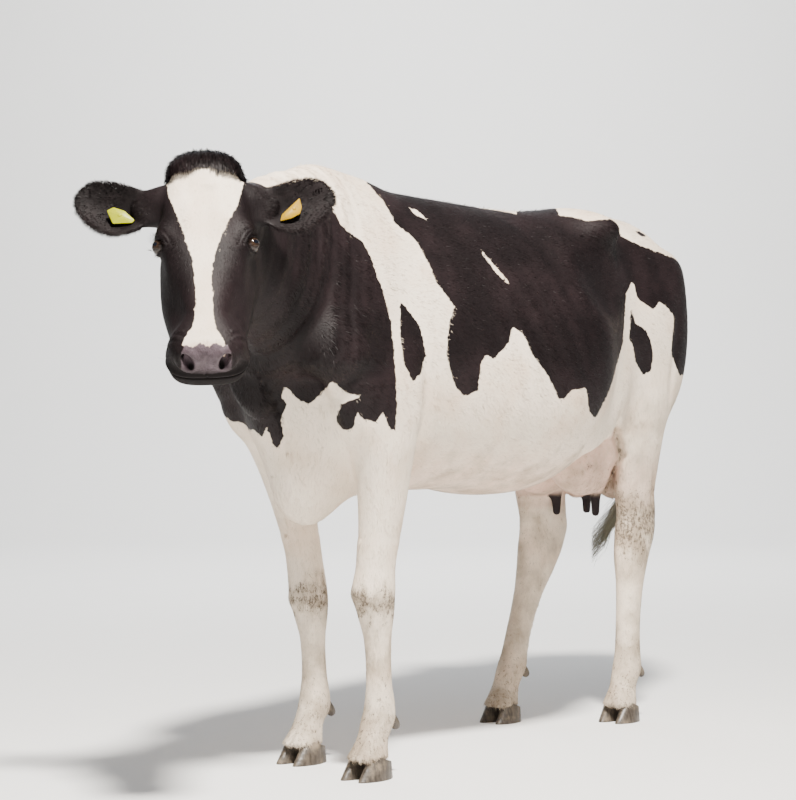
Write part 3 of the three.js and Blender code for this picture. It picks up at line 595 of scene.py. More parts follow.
def body_relief(points):
    x, y, z = points.T
    q = points - NECK_BASE
    along = q @ unit(NECK_WAY)
    neck = hill(along, 350, 150)
    bands = 3.4 * np.cos(2 * math.pi * (along + 0.22 * z) / 78) * neck
    bands += 1.0 * np.cos(2 * math.pi * (along + 0.1 * z) / 31 + 1.0) * neck
    under = 955 + 0.2 * (y + 720) - z
    ledge = 26 * bump_up(under, -28, 30) * bump_up(-under, -260, -70)
    ledge *= hill(y, -745, 120) * (x > 40)
    elbow = -5 * np.exp(-(((z - 850) / 50) ** 2) - (((y + 472) / 42) ** 2)) * (np.abs(x) > 90)
    behind = 17 * hill(y + 428 + 0.15 * (z - 850), 0, 20) * hill(z, 850, 105)
    behind = behind * (np.abs(x) > 90)
    ribs = 1.5 * np.cos(2 * math.pi * (y + 0.28 * z) / 72) * hill(y, -60, 190)
    ribs *= hill(z, 1010, 170)
    thurl = 9 * np.exp(-(((y - 560) / 60) ** 2) - (((z - 1215) / 80) ** 2)) * (np.abs(x) > 120)
    thigh = 5 * hill(y - 735 - 0.1 * (z - 1000), 0, 20) * hill(z, 1010, 140)
    thigh = thigh * (np.abs(x) > 120)
    crease = 26 * hill(beside_fold(points), 0, 11) * (np.abs(x) > 70) * bump_up(-y, -660, -610)
    crease = crease * bump_up(z, 640, 670) * bump_up(-z, -900, -800) * bump_up(y, 400, 470)
    cleft = crease + 7 * hill(x, 0, 12) * hill(z, 650, 60) * (y > 430) * (y < 800)
    skin = 0.9 * np.sin(z / 6.5 + y / 31) * hill(z, 905, 60) * hill(y, -690, 60)
    return bands + ledge + elbow + behind + ribs + thurl + thigh + cleft + skin


KNEE_LEFT, KNEE_RIGHT = 430, 400  # heights of the two knees


def leg_relief(points):
    x, y, z = points.T
    d = np.zeros(len(points))
    for name, (table, _) in LEGS.items():
        rows = curve_table([(-r[0], *r[1:]) for r in table], 120)
        mid_x, mid_y = np.interp(-z, rows[:, 0], rows[:, 1]), np.interp(-z, rows[:, 0], rows[:, 2])
        near = (np.abs(x - mid_x) < 110) & (np.abs(y - mid_y) < 150)
        side_x, side_y = np.abs(x - mid_x), y - mid_y
        tendon = 5 * hill(side_y, 20, 7) * np.clip((side_x - 12) / 10, 0, 1)
        tendon = tendon * hill(z, 270, 75)
        split = 4 * hill(x - mid_x, 0, 5) * hill(z, 60, 28) * (np.abs(side_y) > 15)
        if name.startswith("hind"):
            hock = 9 * hill(side_y, 30, 13) * hill(z, 640, 55)
            d = d + np.where(near, hock * np.clip((side_x - 10) / 15, 0, 1), 0)
        else:
            knee = -2.5 * hill(z, KNEE_LEFT if mid_x.mean() > 0 else KNEE_RIGHT, 18)
            d = d + np.where(near & (side_y < 0), knee, 0)
        d = d + np.where(near, tendon + split, 0)
    return d


REACH = 140.0
FAR = 500.0


def fold_in(shapes, points, d=None):
    d = np.full(len(points), FAR) if d is None else d
    for shape in shapes:
        near = ((points > shape.low - REACH) & (points < shape.high + REACH)).all(1)
        if near.any():
            d[near] = blend(d[near], shape(points[near]), shape.width)
    return d


def coat_depth(points):
    """How far the skin lies inside the solids: less on the nose and feet, most under the topknot."""
    u, v, w = in_head(points)
    depth = np.full(len(points), 3.5)
    top = hill(np.maximum(u + 10, 0), 0, 45) * (np.abs(v) < 150) * (w > -160) * (u < 120)
    depth += 9 * top * np.exp(-((v / 70) ** 4))
    nose = np.clip((u - 380) / 40, 0, 1) * (np.abs(v) < 120) * (w > -200)
    depth -= 2.7 * nose
    return depth - 1.5 * (points[:, 2] < 560)


def flesh(points):
    body = fold_in(BODY, points)
    for hollow in HOLLOWS:
        near = ((points > hollow.low - REACH) & (points < hollow.high + REACH)).all(1)
        body[near] = carve(body[near], hollow(points[near]), hollow.width)
    body = fold_in([TAIL_ROD], points, body)
    close = np.abs(body) < 60
    body[close] += body_relief(points[close])
    low = close & (points[:, 2] < 760)
    if low.any():
        body[low] += leg_relief(points[low])
    head_near = np.linalg.norm(points - head_point(200, 0, -80), axis=1) < 520
    if head_near.any():
        p = points[head_near]
        head = fold_in(HEAD, p)
        for hollow in NOSTRILS:
            head = carve(head, hollow(p), hollow.width)
        head += np.where(np.abs(head) < 40, head_relief(p), 0)
        part = blend(body[head_near], head, 50)
        part = with_eyes(p, part)
        part += coat_depth(p)
        part = fold_in(EARS.values(), p, part)
        body[head_near] = part
        rest = ~head_near
        body[rest] += coat_depth(points[rest])
        return body
    return body + coat_depth(points)


# ---------------------------------------------------------------- a mesh of the surface
CORNERS = np.array([[(c >> 2) & 1, (c >> 1) & 1, c & 1] for c in range(8)])
EDGES = [(a, b) for a in range(8) for b in range(a + 1, 8) if bin(a ^ b).count("1") == 1]


def in_lots(points, lot=150000):
    return np.concatenate([flesh(part) for part in np.array_split(points, max(1, len(points) // lot))])


def surface(low, high, cell, coarse=4, band=2.4):
    """One vertex in each small cell that the surface crosses, joined into triangles."""
    low, high = np.array(low, float), np.array(high, float)
    block = cell * coarse
    count = np.ceil((high - low) / block).astype(int) + 1
    grid = np.stack(np.meshgrid(*[np.arange(k) for k in count], indexing="ij"), -1).reshape(-1, 3)
    active = grid[np.abs(in_lots(low + (grid + 0.5) * block)) < band * block]
    dims = count * coarse + 1
    steps = np.stack(np.meshgrid(*[np.arange(coarse + 1)] * 3, indexing="ij"), -1).reshape(-1, 3)
    index = (active[:, None] * coarse + steps[None]).reshape(-1, 3)
    keys = np.unique((index[:, 0] * dims[1] + index[:, 1]) * dims[2] + index[:, 2])
    places = np.stack([keys // (dims[2] * dims[1]), (keys // dims[2]) % dims[1], keys % dims[2]], 1)
    values = in_lots(low + places * cell)
    steps = np.stack(np.meshgrid(*[np.arange(coarse)] * 3, indexing="ij"), -1).reshape(-1, 3)
    cells = (active[:, None] * coarse + steps[None]).reshape(-1, 3)
    cell_keys = (cells[:, 0] * dims[1] + cells[:, 1]) * dims[2] + cells[:, 2]
    offsets = (CORNERS[:, 0] * dims[1] + CORNERS[:, 1]) * dims[2] + CORNERS[:, 2]
    corner = values[np.searchsorted(keys, cell_keys[:, None] + offsets[None])]
    inside = corner < 0
    mixed = inside.any(1) & ~inside.all(1)
    cells, cell_keys, corner, inside = cells[mixed], cell_keys[mixed], corner[mixed], inside[mixed]
    total, number = np.zeros((len(cells), 3)), np.zeros(len(cells))
    for a, b in EDGES:
        cross = inside[:, a] != inside[:, b]
        t = corner[:, a] / (corner[:, a] - corner[:, b] + 1e-30)
        total += np.where(cross[:, None], CORNERS[a] + (CORNERS[b] - CORNERS[a]) * t[:, None], 0)
        number += cross
    vertices = low + (cells + total / number[:, None]) * cell
    order = np.argsort(cell_keys)
    ranked = cell_keys[order]

    def find(k):
        j = np.clip(np.searchsorted(ranked, k), 0, len(ranked) - 1)
        return order[j], ranked[j] == k

    stride = [dims[1] * dims[2], dims[2], 1]
    quads = []
    for u, w, far in [(1, 2, 4), (2, 0, 2), (0, 1, 1)]:
        crossed = inside[:, 0] != inside[:, far]
        k = cell_keys[crossed]
        ring = [find(k), find(k - stride[u]), find(k - stride[u] - stride[w]), find(k - stride[w])]
        whole = np.all([r[1] for r in ring], axis=0)
        quad = np.stack([r[0] for r in ring], 1)[whole]
        out = inside[crossed, 0][whole]
        quads.append(np.where(out[:, None], quad, quad[:, ::-1]))
    quads = np.concatenate(quads)
    diagonal = np.linalg.norm(vertices[quads[:, 0]] - vertices[quads[:, 2]], axis=1)
    other = np.linalg.norm(vertices[quads[:, 1]] - vertices[quads[:, 3]], axis=1)
    swap = (other < diagonal)[:, None]
    first = np.where(swap, quads[:, [1, 2, 3]], quads[:, [0, 1, 2]])
    second = np.where(swap, quads[:, [1, 3, 0]], quads[:, [0, 2, 3]])
    return vertices, np.concatenate([first, second])


PROBE = np.array([[1, -1, -1], [-1, -1, 1], [-1, 1, -1], [1, 1, 1.0]])


def slope_at(points, step):
    values = [in_lots(points + k * step) for k in PROBE]
    slope = sum(k * v[:, None] for k, v in zip(PROBE, values)) / (4 * step)
    return slope, sum(values) / 4


def settle(points, steps, step, most):
    start = points.copy()
    for _ in range(steps):
        slope, d = slope_at(points, step)
        move = (d / np.maximum((slope**2).sum(1), 0.15))[:, None] * slope
        moved = points - move - start
        length = np.linalg.norm(moved, axis=1, keepdims=True)
        points = start + moved * np.minimum(1, most / np.maximum(length, 1e-9))
    return points


def cut_off(vertices, faces, at, out):
    """Keeps what lies below a plane, and returns the loops of its new edge."""
    height = (vertices - at) @ unit(out)
    below = height < 0
    count = below[faces].sum(1)
    kept = [faces[count == 3]]
    new, loops_next, fresh = [], {}, {}

    def crossing(a, b):
        key = (min(a, b), max(a, b))
        if key not in fresh:
            t = height[a] / (height[a] - height[b])
            fresh[key] = len(vertices) + len(new)
            new.append(vertices[a] + (vertices[b] - vertices[a]) * t)
        return fresh[key]

    extra = []
    for face in faces[(count > 0) & (count < 3)]:
        f = [int(v) for v in face]
        inside = [bool(below[v]) for v in f]
        k = inside.index(True) if sum(inside) == 1 else inside.index(False)
        a, b, c = f[k], f[(k + 1) % 3], f[(k + 2) % 3]
        ab, ac = crossing(a, b), crossing(a, c)
        if sum(inside) == 1:
            extra.append((a, ab, ac))
            loops_next[ab] = ac
        else:
            extra += [(ab, b, c), (ab, c, ac)]
            loops_next[ac] = ab
    vertices = np.concatenate([vertices, np.array(new)])
    faces = np.concatenate(kept + [np.array(extra)])
    loops = []
    while loops_next:
        start, after = loops_next.popitem()
        loop = [start]
        while after in loops_next:
            loop.append(after)
            after = loops_next.pop(after)
        loop.append(after) if after != start else None
        loops.append(loop)
    return vertices, faces, [loop for loop in loops if len(loop) > 8]


def compact(vertices, faces, loops=()):
    used = np.unique(faces)
    where = np.full(len(vertices), -1)
    where[used] = np.arange(len(used))
    return vertices[used], where[faces], [[int(where[i]) for i in loop] for loop in loops]


def zip_up(vertices, first, second, way):
    """Triangles between two loops that run round the same line."""
    centre = vertices[first].mean(0)
    way = unit(way)
    e1 = unit(np.cross(way, (0.3, 0.5, 0.8)))
    e2 = np.cross(way, e1)

    def ordered(loop):
        q = vertices[loop] - centre
        angle = np.arctan2(q @ e2, q @ e1)
        order = np.argsort(angle)
        return np.array(loop)[order], angle[order]

    (a, angle_a), (b, angle_b) = ordered(first), ordered(second)
    a, angle_a = np.append(a, a[0]), np.append(angle_a, angle_a[0] + 2 * math.pi)
    b, angle_b = np.append(b, b[0]), np.append(angle_b, angle_b[0] + 2 * math.pi)
    i = j = 0
    faces = []
    while i < len(a) - 1 or j < len(b) - 1:
        if j == len(b) - 1 or (i < len(a) - 1 and angle_a[i + 1] < angle_b[j + 1]):
            faces.append((a[i], a[i + 1], b[j]))
            i += 1
        else:
            faces.append((a[i], b[j + 1], b[j]))
            j += 1
    faces = np.array(faces)
    corners = vertices[faces]
    normal = np.cross(corners[:, 1] - corners[:, 0], corners[:, 2] - corners[:, 0])
    outward = corners.mean(1) - centre
    return faces if (normal * outward).sum() > 0 else faces[:, ::-1]


def join_meshes(low_part, high_part, way):
    """Two open meshes whose loops face each other across a narrow gap become one."""
    (va, fa, la), (vb, fb, lb) = low_part, high_part
    vertices = np.concatenate([va, vb])
    faces = [fa, fb + len(va)]
    lb = [[i + len(va) for i in loop] for loop in lb]
    middles = [vertices[loop].mean(0) for loop in lb]
    for loop in la:
        k = int(np.argmin([np.linalg.norm(m - vertices[loop].mean(0)) for m in middles]))
        faces.append(zip_up(vertices, loop, lb[k], way))
    return vertices, np.concatenate(faces)


def refine(vertices, faces, chosen):
    """Each chosen triangle becomes four, and its neighbours are split to match."""
    edges = np.sort(np.concatenate([faces[:, [0, 1]], faces[:, [1, 2]], faces[:, [2, 0]]]), axis=1)
    keys, inverse = np.unique(edges[:, 0] * len(vertices) + edges[:, 1], return_inverse=True)
    inverse = inverse.reshape(3, -1).T
    marked = np.zeros(len(keys), bool)
    marked[inverse[chosen].ravel()] = True
    number = np.cumsum(marked) - 1 + len(vertices)
    middles = (vertices[keys[marked] // len(vertices)] + vertices[keys[marked] % len(vertices)]) / 2
    split, mid = marked[inverse], number[inverse]
    result = [faces[split.sum(1) == 0]]
    for turn in range(3):
        f, s, m = np.roll(faces, -turn, 1), np.roll(split, -turn, 1), np.roll(mid, -turn, 1)
        if turn == 0:
            whole = s.all(1)
            a, b, c = f[whole].T
            ab, bc, ca = m[whole].T
            for tri in ((a, ab, ca), (ab, b, bc), (ca, bc, c), (ab, bc, ca)):
                result.append(np.stack(tri, 1))
        one = s[:, 0] & ~s[:, 1] & ~s[:, 2]
        a, b, c = f[one].T
        ab = m[one, 0]
        result += [np.stack((a, ab, c), 1), np.stack((ab, b, c), 1)]
        two = s[:, 0] & s[:, 1] & ~s[:, 2]
        a, b, c = f[two].T
        ab, bc = m[two, 0], m[two, 1]
        result += [np.stack(t, 1) for t in ((ab, b, bc), (a, ab, bc), (a, bc, c))]
    return np.concatenate([vertices, middles]), np.concatenate(result)


BODY_CELL, LEG_CELL, HEAD_CELL = ((12, 8, 4.2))
LEG_SEAM = 505
NECK_SEAM = head_point(0, 0, -215)
NECK_SEAM_WAY = unit(head_way(117, 0, 300))


def build_skin():
    body_v, body_f = surface((-420, -1300, LEG_SEAM - 40), (420, 1060, 1500), BODY_CELL)
    body_v = settle(body_v, 2, 2.0, BODY_CELL * 0.5)
    legs_v, legs_f = surface((-230, -680, 20), (250, 860, LEG_SEAM + 40), LEG_CELL)
    legs_v = settle(legs_v, 2, 1.5, LEG_CELL * 0.5)
    head_v, head_f = surface((-60, -1540, 860), (480, -860, 1480), HEAD_CELL)
    head_v = settle(head_v, 2, 0.8, HEAD_CELL * 0.5)
    gap = np.array([0, 0, 4.0])
    middle = np.array([0, 0, LEG_SEAM])
    legs = compact(*cut_off(legs_v, legs_f, middle - gap, (0, 0, 1)))
    body = compact(*cut_off(body_v, body_f, middle + gap, (0, 0, -1)))
    v, f = join_meshes(legs, body, (0, 0, 1))
    nudge = NECK_SEAM_WAY * 4
    body = compact(*cut_off(v, f, NECK_SEAM - nudge, NECK_SEAM_WAY))
    head = compact(*cut_off(head_v, head_f, NECK_SEAM + nudge, -NECK_SEAM_WAY))
    v, f = join_meshes(body, head, NECK_SEAM_WAY)
    for _ in range(2):
        centres = v[f].mean(1)
        size = np.linalg.norm(v[f[:, 0]] - v[f[:, 1]], axis=1)
        u, _, w = in_head(centres)
        fine = (np.abs(u - 452) < 42) & (w > -110) & (w < 10) & (size > 2.2)
        for s in (1, -1):
            fine |= np.linalg.norm(centres - eye_centre(s), axis=1) < 34
        v, f = refine(v, f, fine & (size > 1.6))
    middles = v[f].mean(1)
    low = (middles[:, 2] < 700) & (np.abs(middles[:, 1] - 650) < 130) & (np.abs(middles[:, 0]) < 95)
    v, f = refine(v, f, low)
    v = settle(v, 2, 0.6, 3.0)
    slope, _ = slope_at(v, 0.8)
    return v, f, slope / np.maximum(np.linalg.norm(slope, axis=1, keepdims=True), 1e-9)


# ---------------------------------------------------------------- markings
# Where the camera sees the edge of a patch, its corners are pixels of the 796 x 800 photo, picked
# and named ..._EDGE; on_skin() finds them on the body. The other corners close an outline where the
# photo doesn't show it. They are given in centimetres: for the left side on an upright plane across
# the way LEFT_PLANE, along it and up; for the right side on the YZ plane; for the face down it and
# across it.
LEFT_PLANE = 38.0
PHOTO_MIDDLE = (398, 400)
PHOTO_TALL = 800
SIGHT_STEP = 4.0
BODY_REACH = (4250, 6200)  # how far from the camera the body is looked for, past the head and ears
FACE_REACH = (3300, 4400)
NECK_EDGE = [
    (334, 211), (342, 227), (363, 242), (371, 258), (383, 291), (391, 323), (395, 364), (397, 405),
    (395, 433), (388, 425), (383, 411), (377, 422), (361, 419), (357, 409), (353, 428), (343, 431),
    (336, 420), (340, 405), (362, 396), (345, 392), (333, 381), (322, 392), (308, 405), (296, 398),
    (284, 384), (282, 396), (286, 405), (281, 420), (284, 436), (277, 451), (271, 440),
]
BRISKET_EDGE = [(262, 437)]
THROAT_EDGE = [(250, 430)]
BARREL_EDGE = [
    (366, 182), (383, 201), (395, 223), (416, 240), (428, 262), (436, 282), (455, 307), (449, 323),
    (446, 354), (455, 386), (465, 397), (478, 390), (481, 363), (486, 355), (494, 359), (509, 342),
    (512, 327), (524, 334), (532, 354), (545, 371), (553, 386), (561, 402), (572, 390), (586, 388),
    (589, 411), (595, 419), (607, 396), (618, 361), (623, 342), (626, 294), (633, 279), (637, 298),
    (654, 310), (659, 302), (666, 306), (674, 317), (671, 352),
]
RUMP_EDGE = [(658, 252), (639, 245), (622, 237)]
LOIN_EDGE = [(589, 221), (559, 215)]
SPOT_EDGE = [
    (400, 301), (412, 315), (420, 327), (426, 354), (420, 374), (413, 382), (404, 364), (400, 333),
]
THIGH_EDGE = [
    (631, 308), (635, 323), (645, 329), (651, 342), (653, 354), (651, 371), (643, 375), (635, 361),
    (633, 346), (629, 340),
]
HIP_FORE_EDGE = [(635, 231)]
HIP_REAR_EDGE = [(647, 237)]
STREAK_EDGE = [(480, 249), (492, 262), (511, 285), (503, 280), (488, 263)]
NICK_EDGE = [(408, 207), (418, 211), (427, 220), (416, 215)]
BLAZE_EDGE = [
    (243, 187), (238, 205), (228, 222), (222, 235), (216, 250), (213, 262), (212, 285), (213, 310),
    (216, 328), (224, 341), (226, 350), (210, 357), (188, 352), (182, 345), (187, 335), (194, 322),
    (196, 300), (195, 280), (193, 263), (188, 247), (183, 231), (175, 212), (168, 195),
]


def sight_lines(pixels):
    """The ways, in the body's axes, in which the camera sees pixels of the photo."""
    turn, rise = math.radians(CAMERA_AZIMUTH), math.radians(CAMERA_PITCH)
    right = np.array([math.cos(turn), math.sin(turn), 0.0])
    level = np.array([-math.sin(turn), math.cos(turn), 0.0])
    ahead = level * math.cos(rise) + np.array([0.0, 0.0, math.sin(rise)])
    up = np.cross(right, ahead)
    places = (np.array(pixels, float) - PHOTO_MIDDLE) * CAMERA_SENSOR / (CAMERA_LENS * PHOTO_TALL)
    lines = ahead + places[:, :1] * right - places[:, 1:] * up
    return unit_rows(lines)


def on_skin(pixels, reach):
    """The points of the skin that the camera sees at pixels of the photo."""
    camera = np.array(CAMERA_AT) * 1000 + MIDDLE
    lines = sight_lines(pixels)
    steps = np.arange(*reach, SIGHT_STEP)
    points = camera + lines[:, None] * steps[:, None]
    depth = flesh(points.reshape(-1, 3)).reshape(len(lines), -1)
    met = (depth < 0).argmax(axis=1)
    assert (met > 0).all(), "a corner of a marking misses the body"
    rows = np.arange(len(lines))
    before, after = depth[rows, met - 1], depth[rows, met]
    return camera + lines * (steps[met] + SIGHT_STEP * after / (before - after))[:, None]


def seen_left(pixels):
    """Corners on the left side's plane, in centimetres, from pixels of the photo."""
    x, y, z = on_skin(pixels, BODY_REACH).T / 10
    turn = math.radians(LEFT_PLANE)
    return list(zip(math.cos(turn) * x + math.sin(turn) * y, z))


def seen_face(pixels):
    """Corners down and across the face, in centimetres, from pixels of the photo."""
    u, v, _ = in_head(on_skin(pixels, FACE_REACH))
    return list(zip(u / 10, v / 10))


BLACK_LEFT = {
    "neck": [
        (-75, 137), (-52, 136), (-40, 134.5), *seen_left(NECK_EDGE), (-45, 83),
        *seen_left(BRISKET_EDGE), (-48.5, 82), *seen_left(THROAT_EDGE), (-56, 82), (-75, 80),
    ],
    "barrel": [
        (-22.5, 165), *seen_left(BARREL_EDGE), (66, 98), (85, 98), (85, 128), (70, 131),
        *seen_left(RUMP_EDGE), (47, 140), *seen_left(LOIN_EDGE), (26, 165),
    ],
    "spot": seen_left(SPOT_EDGE),
    "thigh": seen_left(THIGH_EDGE),
    "hip": [*seen_left(HIP_FORE_EDGE), (56, 140), *seen_left(HIP_REAR_EDGE), (55, 138)],
}
WHITE_LEFT = {
    "streak": seen_left(STREAK_EDGE),
    "nick": seen_left(NICK_EDGE),
    "spine": [(4, 150), (6, 141), (12, 140.8), (17, 139.8), (18.5, 150)],
}
BLACK_RIGHT = {
    "neck": [
        (-150, 137), (-110, 138), (-95, 138), (-80, 136), (-66, 129), (-58, 116), (-52, 104), (-49, 95),
        (-54, 86), (-60, 92), (-68, 83), (-78, 80), (-150, 78),
    ],
    "barrel": [
        (-38, 165), (-33, 140), (-27, 131), (-20, 124), (-23, 112), (-15, 101), (-5, 95), (1, 103),
        (7, 98), (12, 85), (21, 82), (27, 91), (26, 105), (33, 117), (31, 128), (24, 134), (12, 139),
        (8, 165),
    ],
    "rump": [
        (34, 137), (44, 140), (60, 138), (72, 139), (98, 136), (98, 112), (84, 103), (74, 111),
        (62, 107), (52, 115), (42, 113), (36, 124),
    ],
    "flank": [(46, 98), (52, 101), (57, 97), (54, 90), (48, 91)],
}
BLAZE_TOP = [
    (0.5, -8), (-0.5, -6), (-1, -3.5), (-3.2, -0.5), (-2.6, 1.5), (-0.8, 4), (-0.5, 7), (1, 8.2),
]
BLAZE = BLAZE_TOP + seen_face(BLAZE_EDGE)


def inside_outline(outline, a, b):
    """Distance inside an outline, in centimetres; negative outside it."""
    best = np.full(len(a), 1e9)
    odd = np.zeros(len(a), bool)
    for (x1, y1), (x2, y2) in zip(outline, outline[1:] + outline[:1]):
        dx, dy = x2 - x1, y2 - y1
        t = np.clip(((a - x1) * dx + (b - y1) * dy) / (dx * dx + dy * dy), 0, 1)
        best = np.minimum(best, np.hypot(a - x1 - t * dx, b - y1 - t * dy))
        if dy:
            odd ^= ((y1 > b) != (y2 > b)) & (a < dx * (b - y1) / dy + x1)
    return np.where(odd, best, -best)


WAVES = RNG.normal(size=(18, 3))
WAVES /= np.linalg.norm(WAVES, axis=1, keepdims=True)
WAVES *= (2 * math.pi / RNG.uniform(9, 45, 18))[:, None]
PHASES = RNG.uniform(0, 6.28, 18)


def ragged(points):
    """An uneven number, about -1 to 1, that changes over 10 to 45 mm."""
    return np.sin(points @ WAVES.T + PHASES).mean(1) * 3


def darkness(points):
    """Centimetres inside the black hair; negative in the white."""
    x, y, z = points.T / 10
    turn = math.radians(LEFT_PLANE)
    s = math.cos(turn) * x + math.sin(turn) * y
    left = np.full(len(points), -30.0)
    for outline in BLACK_LEFT.values():
        left = np.maximum(left, inside_outline(outline, s, z))
    for outline in WHITE_LEFT.values():
        left = np.minimum(left, -inside_outline(outline, s, z))
    right = np.full(len(points), -30.0)
    for outline in BLACK_RIGHT.values():
        right = np.maximum(right, inside_outline(outline, y, z))
    right = right + 0.7 * ragged(points * 0.8) * (right > -8)
    far_side = x < np.where(y > -45, -3.0, -3.0 - np.clip((-45 - y) * 0.35, 0, 11))
    dark = np.where(far_side, right, left)
    u, v, w = in_head(points)
    u, v, w = u / 10, v / 10, w / 10
    near = is_head(points)
    face = np.where(w > -7, -inside_outline(BLAZE, u, v), 4.0)
    dark = np.where(near, np.maximum(face, -4.0), dark)
    tail = (y > 89.5) & (np.abs(x) < 12) & (z < 139)
    dark = np.where(tail, z - 94, dark)
    return np.where((z < 66) & ~near, np.minimum(dark, -3.0), dark)


def bare_nose(points):
    """Centimetres inside the bare skin between and under the nostrils."""
    u, v, w = in_head(points)
    u, v, w = u / 10, v / 10, w / 10
    top = u - 43.2 - 0.3 * np.cos(v * 2.1) - 0.04 * np.maximum(np.abs(v + 0.4) - 3, 0) ** 2
    side = 4.9 - np.abs(v + 0.4) - 0.3 * np.maximum(-w - 6.5, 0) - 0.5 * np.maximum(44.4 - u, 0)
    under = w + 6.9 - 0.03 * (v + 0.4) ** 2
    return np.minimum(np.minimum(top, side), under)


# ---------------------------------------------------------------- meshes
def to_frame(points):
    return ((points - MIDDLE) / 1000).astype(np.float32)


def mesh_object(name, vertices, faces, material, numbers=None, normals=None, uv=None):
    mesh = bpy.data.meshes.new(name)
    count = len(faces)
    mesh.vertices.add(len(vertices))
    mesh.vertices.foreach_set("co", to_frame(vertices).ravel())
    mesh.loops.add(count * 3)
    mesh.loops.foreach_set("vertex_index", faces.astype(np.int32).ravel())
    mesh.polygons.add(count)
    mesh.polygons.foreach_set("loop_start", np.arange(0, count * 3, 3, dtype=np.int32))
    mesh.polygons.foreach_set("use_smooth", np.ones(count, bool))
    mesh.update(calc_edges=True)
    for key, values in (numbers or {}).items():
        layer = mesh.attributes.new(key, "FLOAT", "POINT")
        layer.data.foreach_set("value", values.astype(np.float32))
    if uv is not None:
        layer = mesh.uv_layers.new(name="OFBake")
        layer.data.foreach_set("uv", uv[faces.ravel()].astype(np.float32).ravel())
    if normals is not None:
        mesh.normals_split_custom_set_from_vertices(normals.astype(np.float32))
    mesh.materials.append(material)
    made = bpy.data.objects.new(name, mesh)
    bpy.context.scene.collection.objects.link(made)
    return made


# ---------------------------------------------------------------- materials
class Nodes:
    """A short way to write a node tree."""

    def __init__(self, name):
        self.material = bpy.data.materials.new(name)
        self.material.use_nodes = True
        self.tree = self.material.node_tree
        self.shader = self.tree.nodes["Principled BSDF"]

    def add(self, kind, **settings):
        node = self.tree.nodes.new(kind)
        for key, value in settings.items():
            setattr(node, key, value)
        return node

    def link(self, a, b):
        self.tree.links.new(a, b)

    def value(self, x, socket):
        if hasattr(x, "is_output"):
            self.link(x, socket)
        else:
            socket.default_value = x

    def math(self, operation, a, b=0.0, c=0.0, clamp=False):
        node = self.add("ShaderNodeMath", operation=operation, use_clamp=clamp)
        for x, socket in zip((a, b, c), node.inputs):
            self.value(x, socket)
        return node.outputs[0]

    def attribute(self, name):
        return self.add("ShaderNodeAttribute", attribute_name=name).outputs["Fac"]

    def place(self, scale=(1, 1, 1), turn=(0, 0, 0)):
        coordinates = self.add("ShaderNodeTexCoord").outputs["Object"]
        mapping = self.add("ShaderNodeMapping")
        mapping.inputs["Scale"].default_value = scale
        mapping.inputs["Rotation"].default_value = turn
        self.link(coordinates, mapping.inputs["Vector"])
        return mapping.outputs[0]

    def noise(self, scale, detail=3.0, place=None, rough=0.55):
        node = self.add("ShaderNodeTexNoise")
        node.inputs["Scale"].default_value = scale
        node.inputs["Detail"].default_value = detail
        node.inputs["Roughness"].default_value = rough
        self.link(place or self.place(), node.inputs["Vector"])
        return node.outputs["Fac"]

    def ramp(self, x, low, high, to_low=0.0, to_high=1.0):
        node = self.add("ShaderNodeMapRange", interpolation_type="SMOOTHSTEP")
        self.value(x, node.inputs["Value"])
        node.inputs["From Min"].default_value = low
        node.inputs["From Max"].default_value = high
        node.inputs["To Min"].default_value = to_low
        node.inputs["To Max"].default_value = to_high
        return node.outputs["Result"]

    def mix(self, amount, a, b):
        node = self.add("ShaderNodeMix", data_type="RGBA")
        self.value(amount, node.inputs[0])
        for x, socket in ((a, node.inputs[6]), (b, node.inputs[7])):
            if hasattr(x, "is_output"):
                self.link(x, socket)
            else:
                socket.default_value = (*x, 1)
        return node.outputs[2]

    def bump(self, height, strength, distance, under=None):
        node = self.add("ShaderNodeBump")
        node.inputs["Strength"].default_value = strength
        node.inputs["Distance"].default_value = distance
        self.link(height, node.inputs["Height"])
        if under is not None:
            self.link(under, node.inputs["Normal"])
        return node.outputs[0]

    def finish(self, colour, roughness, normal=None, specular=0.5):
        self.value(colour if hasattr(colour, "is_output") else (*colour, 1), self.shader.inputs["Base Color"])
        self.value(roughness, self.shader.inputs["Roughness"])
        self.shader.inputs["Specular IOR Level"].default_value = specular
        if normal is not None:
            self.link(normal, self.shader.inputs["Normal"])
        return self.material


BLACK_DEEP = (0.0022, 0.0014, 0.0016)
# Worn black: the purple-grey of sun-worn hair, which also stands in for the coat's sheen as painted sheen.
BLACK_WORN_SHEEN = (0.0150, 0.0090, 0.0100)
WHITE_HAIR = (0.83, 0.735, 0.615)
WHITE_WARM = (0.66, 0.49, 0.355)
PINK_SKIN = (0.60, 0.38, 0.30)
# The two mud colours also paint shade into the crease where the thigh meets the udder.
DRY_MUD_AND_CREASE_SHADE = (0.30, 0.235, 0.165)
DARK_MUD_AND_CREASE_SHADE = (0.085, 0.062, 0.044)
NOSE_SKIN = (0.052, 0.037, 0.043)


